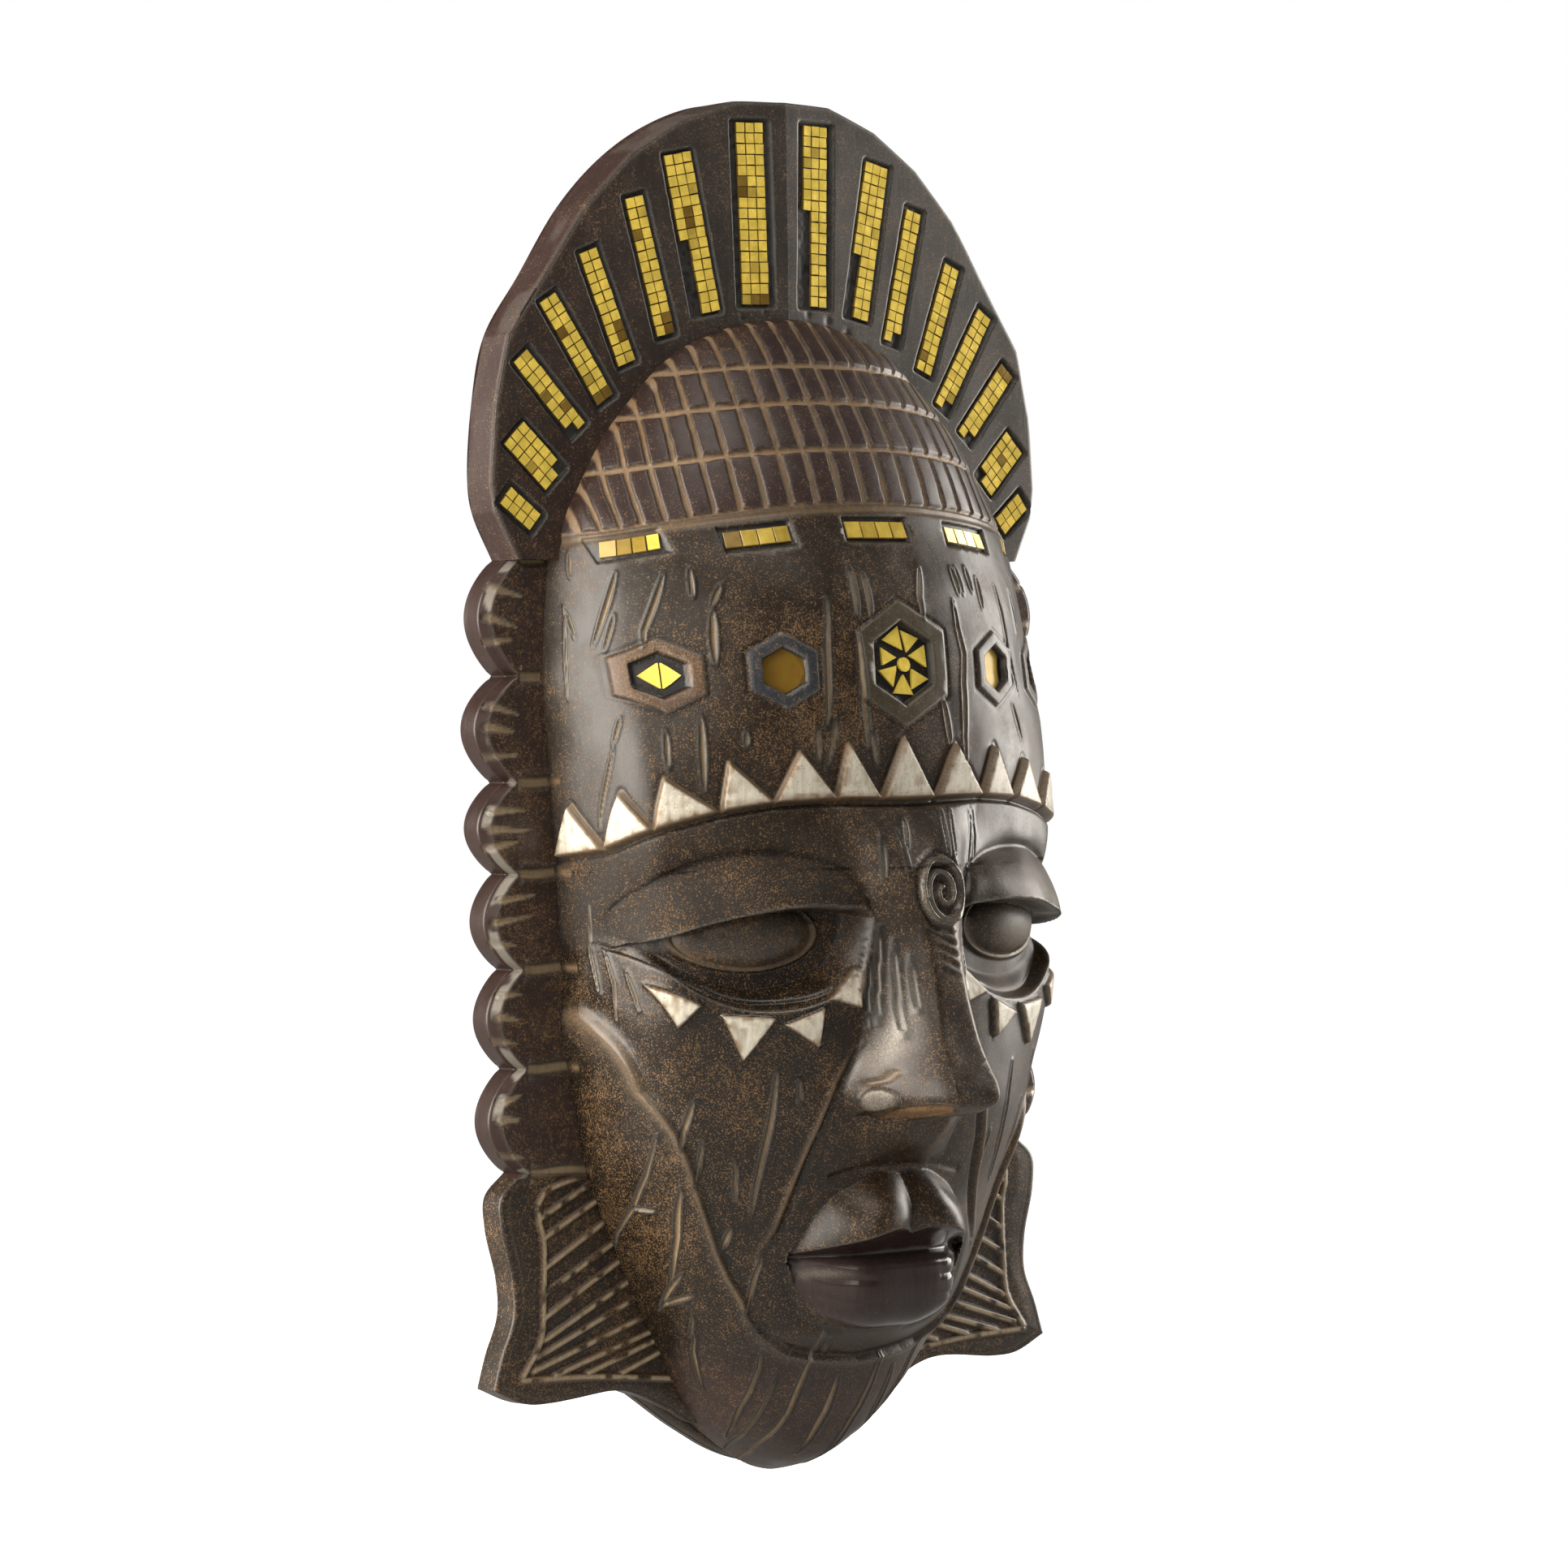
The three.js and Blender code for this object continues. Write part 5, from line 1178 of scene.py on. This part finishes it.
# One bevelled tile, in mm: middle, axes, half sizes, thickness. Its top has the shade, its sides are darker
def add_tile(bm, shade_layer, middle, across, up, out, half_a, half_b, thick, shade, chamfer):
    foot, shoulder, top = [
        [bm.verts.new((middle + across * sa * a + up * sb * b + out * z) * MM)
         for sa, sb in ((-1, -1), (1, -1), (1, 1), (-1, 1))]
        for a, b, z in ((half_a, half_b, -thick), (half_a, half_b, -chamfer),
                        (half_a - chamfer, half_b - chamfer, 0.0))]
    tone = shade
    for face in (top, foot[::-1], *ring_quads(foot, shoulder), *ring_quads(shoulder, top)):
        for loop in bm.faces.new(face).loops:
            loop[shade_layer] = (tone, tone, tone, 1.0)
        tone = max(shade, 0.85)


def tiles_object(node, tiles):
    bm = bmesh.new()
    layer = bm.loops.layers.float_color.new("shade")
    for tile in tiles:
        add_tile(bm, layer, *tile)
    bmesh.ops.recalc_face_normals(bm, faces=bm.faces)
    obj = bmesh_object(node.replace("_tiles", "_mosaic"), bm)
    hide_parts(node)
    finish_piece(obj, MATERIALS["mirror"])


def crown_tiles(number, side):
    bx, bh, tilt, _, _, left, right = BARS[number]
    columns = left if side < 0 else right
    rng = random.Random(100 + number * 2 + (side > 0))
    turn = math.radians(tilt)
    along_bar = np.array([side * math.cos(turn), math.sin(turn)])
    across_bar = np.array([math.sin(turn), -side * math.cos(turn)])
    wide = len(columns) * TILE_PITCH
    long = max(columns) * TILE_PITCH
    slope = -side * ROOF_FALL / ROOF_HALF
    for c, count in enumerate(columns):
        for r in range(count):
            u = (c + 0.5) * TILE_PITCH - wide / 2 + rng.uniform(-0.12, 0.12)
            v = -(r + 0.5) * TILE_PITCH + long / 2 + rng.uniform(-0.12, 0.12)
            px, ph = np.array([side * bx, bh]) + u * across_bar + v * along_bar
            out = Vector((-slope + rng.gauss(0, 0.012), -1.0, rng.gauss(0, 0.012))).normalized()
            spin = rng.gauss(0, 0.02)
            up = Vector((along_bar[0], 0, along_bar[1]))
            up = (up - out * up.dot(out)).normalized()
            across = up.cross(out) * -1.0
            up, across = (up * math.cos(spin) + across * math.sin(spin),
                          across * math.cos(spin) - up * math.sin(spin))
            top = roof_depth(px) - 0.7 + rng.uniform(-0.15, 0.15)
            dark = (side, number, c, r) in DARK_TILES
            shade = rng.uniform(0.8, 0.95) if dark else rng.uniform(0.0, 0.18)
            if not dark and rng.random() < 0.04:
                shade = rng.uniform(0.35, 0.6)
            half_size = TILE_SIZE / 2 * rng.uniform(0.97, 1.0)
            yield Vector((px, -top, ph - BASE_H)), across, up, out, half_size, half_size, 1.5, shade, 0.14


def forehead_tiles(sx, sh, tilt, _, shades, tile_wide, tile_high):
    rng = random.Random(300 + int(sx))
    turn = math.radians(tilt)

    def depth(x, h):
        x, h = np.array([x]), np.array([h])
        return float((face_depth(x, h) * edge_rounding(np.abs(inside_by(x, h, face_outline)), h))[0])

    for k, shade in enumerate(shades):
        a = (k - 1.5) * (tile_wide + 0.35)
        px, ph = sx + a * math.cos(turn), sh + a * math.sin(turn)
        t = depth(px, ph)
        over_x = (depth(px + 1, ph) - depth(px - 1, ph)) / 2
        over_h = (depth(px, ph + 1) - depth(px, ph - 1)) / 2
        out = Vector((-over_x + rng.gauss(0, 0.02), -1.0, -over_h + rng.gauss(0, 0.02))).normalized()
        run = Vector((math.cos(turn), -(over_x * math.cos(turn) + over_h * math.sin(turn)), math.sin(turn)))
        across = (run - out * run.dot(out)).normalized()
        yield (Vector((px, -(t - 0.9), ph - BASE_H)), across, across.cross(out) * -1.0, out,
               tile_wide * run.length / 2, tile_high / 2, 1.4, shade, 0.3)


# A tree of shader nodes. Each input takes a value or the output that it is linked to
class Tree:
    def __init__(self, tree):
        self.tree = tree
        tree.nodes.clear()

    def node(self, kind, inputs=None, **settings):
        made = self.tree.nodes.new("ShaderNode" + kind)
        for key, value in settings.items():
            setattr(made, key, value)
        for key, value in (inputs or {}).items():
            if isinstance(value, bpy.types.NodeSocket):
                self.tree.links.new(value, made.inputs[key])
            else:
                made.inputs[key].default_value = value
        return made.outputs

    def math(self, operation, a, b, clamp=False):
        return self.node("Math", {0: a, 1: b}, operation=operation, use_clamp=clamp)[0]

    def times(self, a, b):
        return self.math("MULTIPLY", a, b)

    def plus(self, a, *others):
        for b in others:
            a = self.math("ADD", a, b)
        return a

    def ramp(self, value, low, high, to_low=0.0, to_high=1.0):
        ends = {"Value": value, "From Min": low, "From Max": high, "To Min": to_low, "To Max": to_high}
        return self.node("MapRange", ends, interpolation_type="SMOOTHSTEP")["Result"]

    def blend(self, share, a, b, kind="MIX"):
        return self.node("Mix", {0: share, 6: a, 7: b}, data_type="RGBA", blend_type=kind)[2]

    def scaled(self, colour, share):
        grey = self.node("CombineXYZ", {0: share, 1: share, 2: share})[0]
        return self.blend(1.0, colour, grey, "MULTIPLY")

    def place(self, along_grain=1.0):
        coord = self.node("TexCoord")["Object"]
        if along_grain == 1.0:
            return coord
        return self.node("Mapping", {"Vector": coord, "Scale": (1.0, 1.0, along_grain)})[0]

    def noise(self, place, scale, detail, rough=0.5, distortion=0.0):
        return self.node("TexNoise", {"Vector": place, "Scale": scale, "Detail": detail, "Roughness": rough,
                                      "Distortion": distortion})["Fac"]

    def bump(self, height, strength, distance):
        return self.node("Bump", {"Height": height, "Strength": strength, "Distance": distance})[0]


def new_material(name, build, **settings):
    material = bpy.data.materials.new(name)
    material.use_nodes = True
    tree = Tree(material.node_tree)
    shader = tree.node("BsdfPrincipled", build(tree, **settings))
    tree.node("OutputMaterial", {"Surface": shader["BSDF"]})
    return material


def patina(tree):
    place = tree.place()
    albedo = tree.node("Attribute", attribute_name="albedo")["Color"]
    finish = tree.node("Attribute", attribute_name="finish")["Vector"]
    tan, silver, gloss = tree.node("SeparateXYZ", {0: finish})
    speckle = tree.noise(place, 1150.0, 4.0, 0.7)
    blotch = tree.noise(place, 42.0, 5.0, 0.6)
    patch = tree.noise(place, 260.0, 3.0, 0.6)
    grain = tree.noise(tree.place(0.16), 420.0, 3.0)
    level = tree.plus(tree.times(speckle, 0.70), tree.times(blotch, 0.16), tree.times(patch, 0.14))
    start = tree.math("SUBTRACT", 0.575, tree.times(tan, 0.16))
    over = tree.math("MULTIPLY", tree.math("SUBTRACT", level, start), 14.0, clamp=True)
    toned = tree.scaled(albedo, tree.ramp(grain, 0.3, 0.7, 0.88, 1.12))
    with_tan = tree.blend(tree.times(over, 0.85), toned, SPECK_TAN)
    # the silver sheen layer, broken by speckle, as metallic silver: rubbed silver and painted highlights
    worn = tree.times(silver, tree.ramp(speckle, 0.3, 0.62, 0.35, 1.0))
    rough = tree.math("SUBTRACT", 0.54, tree.times(gloss, 0.44))
    return {"Base Color": tree.blend(worn, with_tan, SILVER_SHEEN),
            "Metallic": tree.times(worn, 0.6),
            "Roughness": tree.plus(rough, tree.times(over, 0.2), tree.ramp(blotch, 0.3, 0.7, -0.06, 0.08)),
            "Specular IOR Level": 0.4,
            "Normal": tree.bump(tree.plus(tree.times(speckle, 0.5), grain), 0.14, 0.0004)}


def sawn_back(tree):
    place = tree.place(0.07)
    rings = tree.noise(place, 90.0, 6.0, distortion=0.8)
    fibre = tree.noise(place, 900.0, 2.0)
    colour = tree.blend(tree.ramp(rings, 0.35, 0.65), (0.085, 0.052, 0.030, 1), (0.17, 0.105, 0.06, 1))
    return {"Base Color": tree.blend(tree.ramp(fibre, 0.35, 0.6), (0.05, 0.03, 0.018, 1), colour),
            "Roughness": 0.78,
            "Normal": tree.bump(tree.plus(fibre, rings), 0.35, 0.0012)}


# Gold mirror, from bright gold to dark amber by the tile's own shade or by one for the whole piece
def mirror(tree, shade=None, shine=0.5):
    place = tree.place()
    cloud = tree.noise(place, 160.0, 3.0)
    spots = tree.noise(place, 1500.0, 2.0)
    if shade is None:
        amount = tree.node("Attribute", attribute_name="shade")["Fac"]
    else:
        amount = tree.ramp(cloud, 0.2, 0.8, shade - 0.05, shade + 0.05)
    toned = tree.scaled(tree.blend(amount, GOLD, AMBER), tree.ramp(cloud, 0.35, 0.65, 0.86, 1.08))
    return {"Base Color": tree.blend(tree.ramp(spots, 0.66, 0.74, 0.0, 0.6), toned, MIRROR_DIRT),
            "Metallic": 0.1,
            "Specular IOR Level": shine,
            "Roughness": tree.ramp(cloud, 0.3, 0.7, 0.16, 0.28),
            "Normal": tree.bump(cloud, 0.08, 0.0008)}


# White to the camera, and a dull grey that the mask sees
def pale_floor(tree):
    return {"Base Color": (0.45, 0.45, 0.45, 1), "Roughness": 1.0, "Specular IOR Level": 0.0,
            "Emission Color": (1, 1, 1, 1), "Emission Strength": tree.node("LightPath")["Is Camera Ray"]}


SPECK_TAN = (0.225, 0.127, 0.054, 1)
SILVER_SHEEN = (0.27, 0.24, 0.20, 1)
GOLD = (1.0, 0.73, 0.115, 1)
AMBER = (0.125, 0.058, 0.007, 1)
MIRROR_DIRT = (0.10, 0.075, 0.035, 1)
MATERIALS = {
    "patina": new_material("carved_wood_patina", patina),
    "back": new_material("carved_wood_back", sawn_back),
    "mirror": new_material("gold_mirror_tiles", mirror),
    "bright": new_material("gold_mirror_piece", mirror, shade=0.06),
    "amber": new_material("amber_mirror_piece", mirror, shade=0.93, shine=0.2),
    "dim": new_material("dim_mirror_piece", mirror, shade=0.72, shine=0.05),
}
NODE_MATERIALS = {"mask_body": "back", "gem_left": "amber", "gem_right": "dim"}

# The pieces
build_head()
for side in (-1, 1):
    build_plates(side)
build_back()
for number, side in itertools.product(range(len(BARS)), (-1, 1)):
    hand = "right" if side > 0 else "left"
    tiles_object(f"crown_tiles_{hand}_{number + 1}", crown_tiles(number, side))
for node, *strip in STRIPS:
    tiles_object(node, forehead_tiles(*strip))
for name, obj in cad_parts.items():
    use_material(obj, MATERIALS[NODE_MATERIALS.get(name, "bright")])

# Floor, far below the eye line, and light
scene = bpy.context.scene
floor_mesh = bpy.data.meshes.new("floor")
floor_mesh.from_pydata([(x, y, -0.66) for x, y in ((-6, -6), (6, -6), (6, 6), (-6, 6))], [], [(0, 1, 2, 3)])
floor = link_object("floor", floor_mesh)
use_material(floor, new_material("pale_floor", pale_floor))

world = bpy.data.worlds.new("studio")
scene.world = world
world.use_nodes = True
tree = Tree(world.node_tree)
seen = tree.node("Background", {"Color": (1, 1, 1, 1), "Strength": 1.0})
fill = tree.node("Background", {"Color": (0.95, 0.97, 1.0, 1), "Strength": 0.15})
either = tree.node("MixShader", {0: tree.node("LightPath")["Is Camera Ray"], 1: fill[0], 2: seen[0]})
tree.node("OutputWorld", {0: either[0]})


def area_light(name, place, size, power):
    light = bpy.data.lights.new(name, "AREA")
    light.shape = "RECTANGLE"
    light.size, light.size_y = size
    light.energy = power
    light.color = WARM
    obj = link_object(name, light)
    obj.location = place
    obj.rotation_euler = (Vector(LIGHT_AIM) - Vector(place)).to_track_quat("-Z", "Y").to_euler()


WARM = (1.0, 0.955, 0.885)
LIGHT_AIM = (0, -0.05, -0.3)
area_light("soft_left", (-1.8, 0.4, 0.0), (1.3, 1.7), 54)
area_light("soft_left_wide", (-2.0, 0.4, 0.0), (2.8, 2.9), 76)
area_light("soft_right", (1.9, -0.3, -0.15), (1.0, 1.8), 56)
area_light("soft_top", (-0.3, -1.0, 1.7), (1.4, 0.9), 16)
area_light("soft_front", (-1.6, -1.9, 0.5), (1.0, 1.0), 9)

# Camera: its place from the mask's middle, and a lens that shows a millimetre there as so many pixels
AZIMUTH, ELEVATION, ROLL = map(math.radians, (38.0, 0.81, -0.91))
DISTANCE = 2.9
TARGET = Vector((0.01269, -0.00991, -0.2745))
SENSOR_WIDE = 36.0
FRAME_PIXELS = 1932
PIXELS_PER_MM = 2.396 * 1.008
back_way = Vector((-math.sin(AZIMUTH) * math.cos(ELEVATION), -math.cos(AZIMUTH) * math.cos(ELEVATION),
                   math.sin(ELEVATION)))
right_way = (-back_way).cross(Vector((0, 0, 1))).normalized()
up_way = right_way.cross(-back_way)
rolled_right = math.cos(ROLL) * right_way + math.sin(ROLL) * up_way
rolled_up = -math.sin(ROLL) * right_way + math.cos(ROLL) * up_way
camera_data = bpy.data.cameras.new("camera")
camera_data.sensor_width = SENSOR_WIDE
camera_data.lens = SENSOR_WIDE * PIXELS_PER_MM * 1000 * DISTANCE / FRAME_PIXELS
camera = link_object("camera", camera_data)
turned = Matrix((rolled_right, rolled_up, back_way)).transposed().to_4x4()
camera.matrix_world = Matrix.Translation(TARGET + back_way * DISTANCE) @ turned
scene.camera = camera
scene.view_settings.view_transform = "Standard"

bpy.context.view_layer.update()
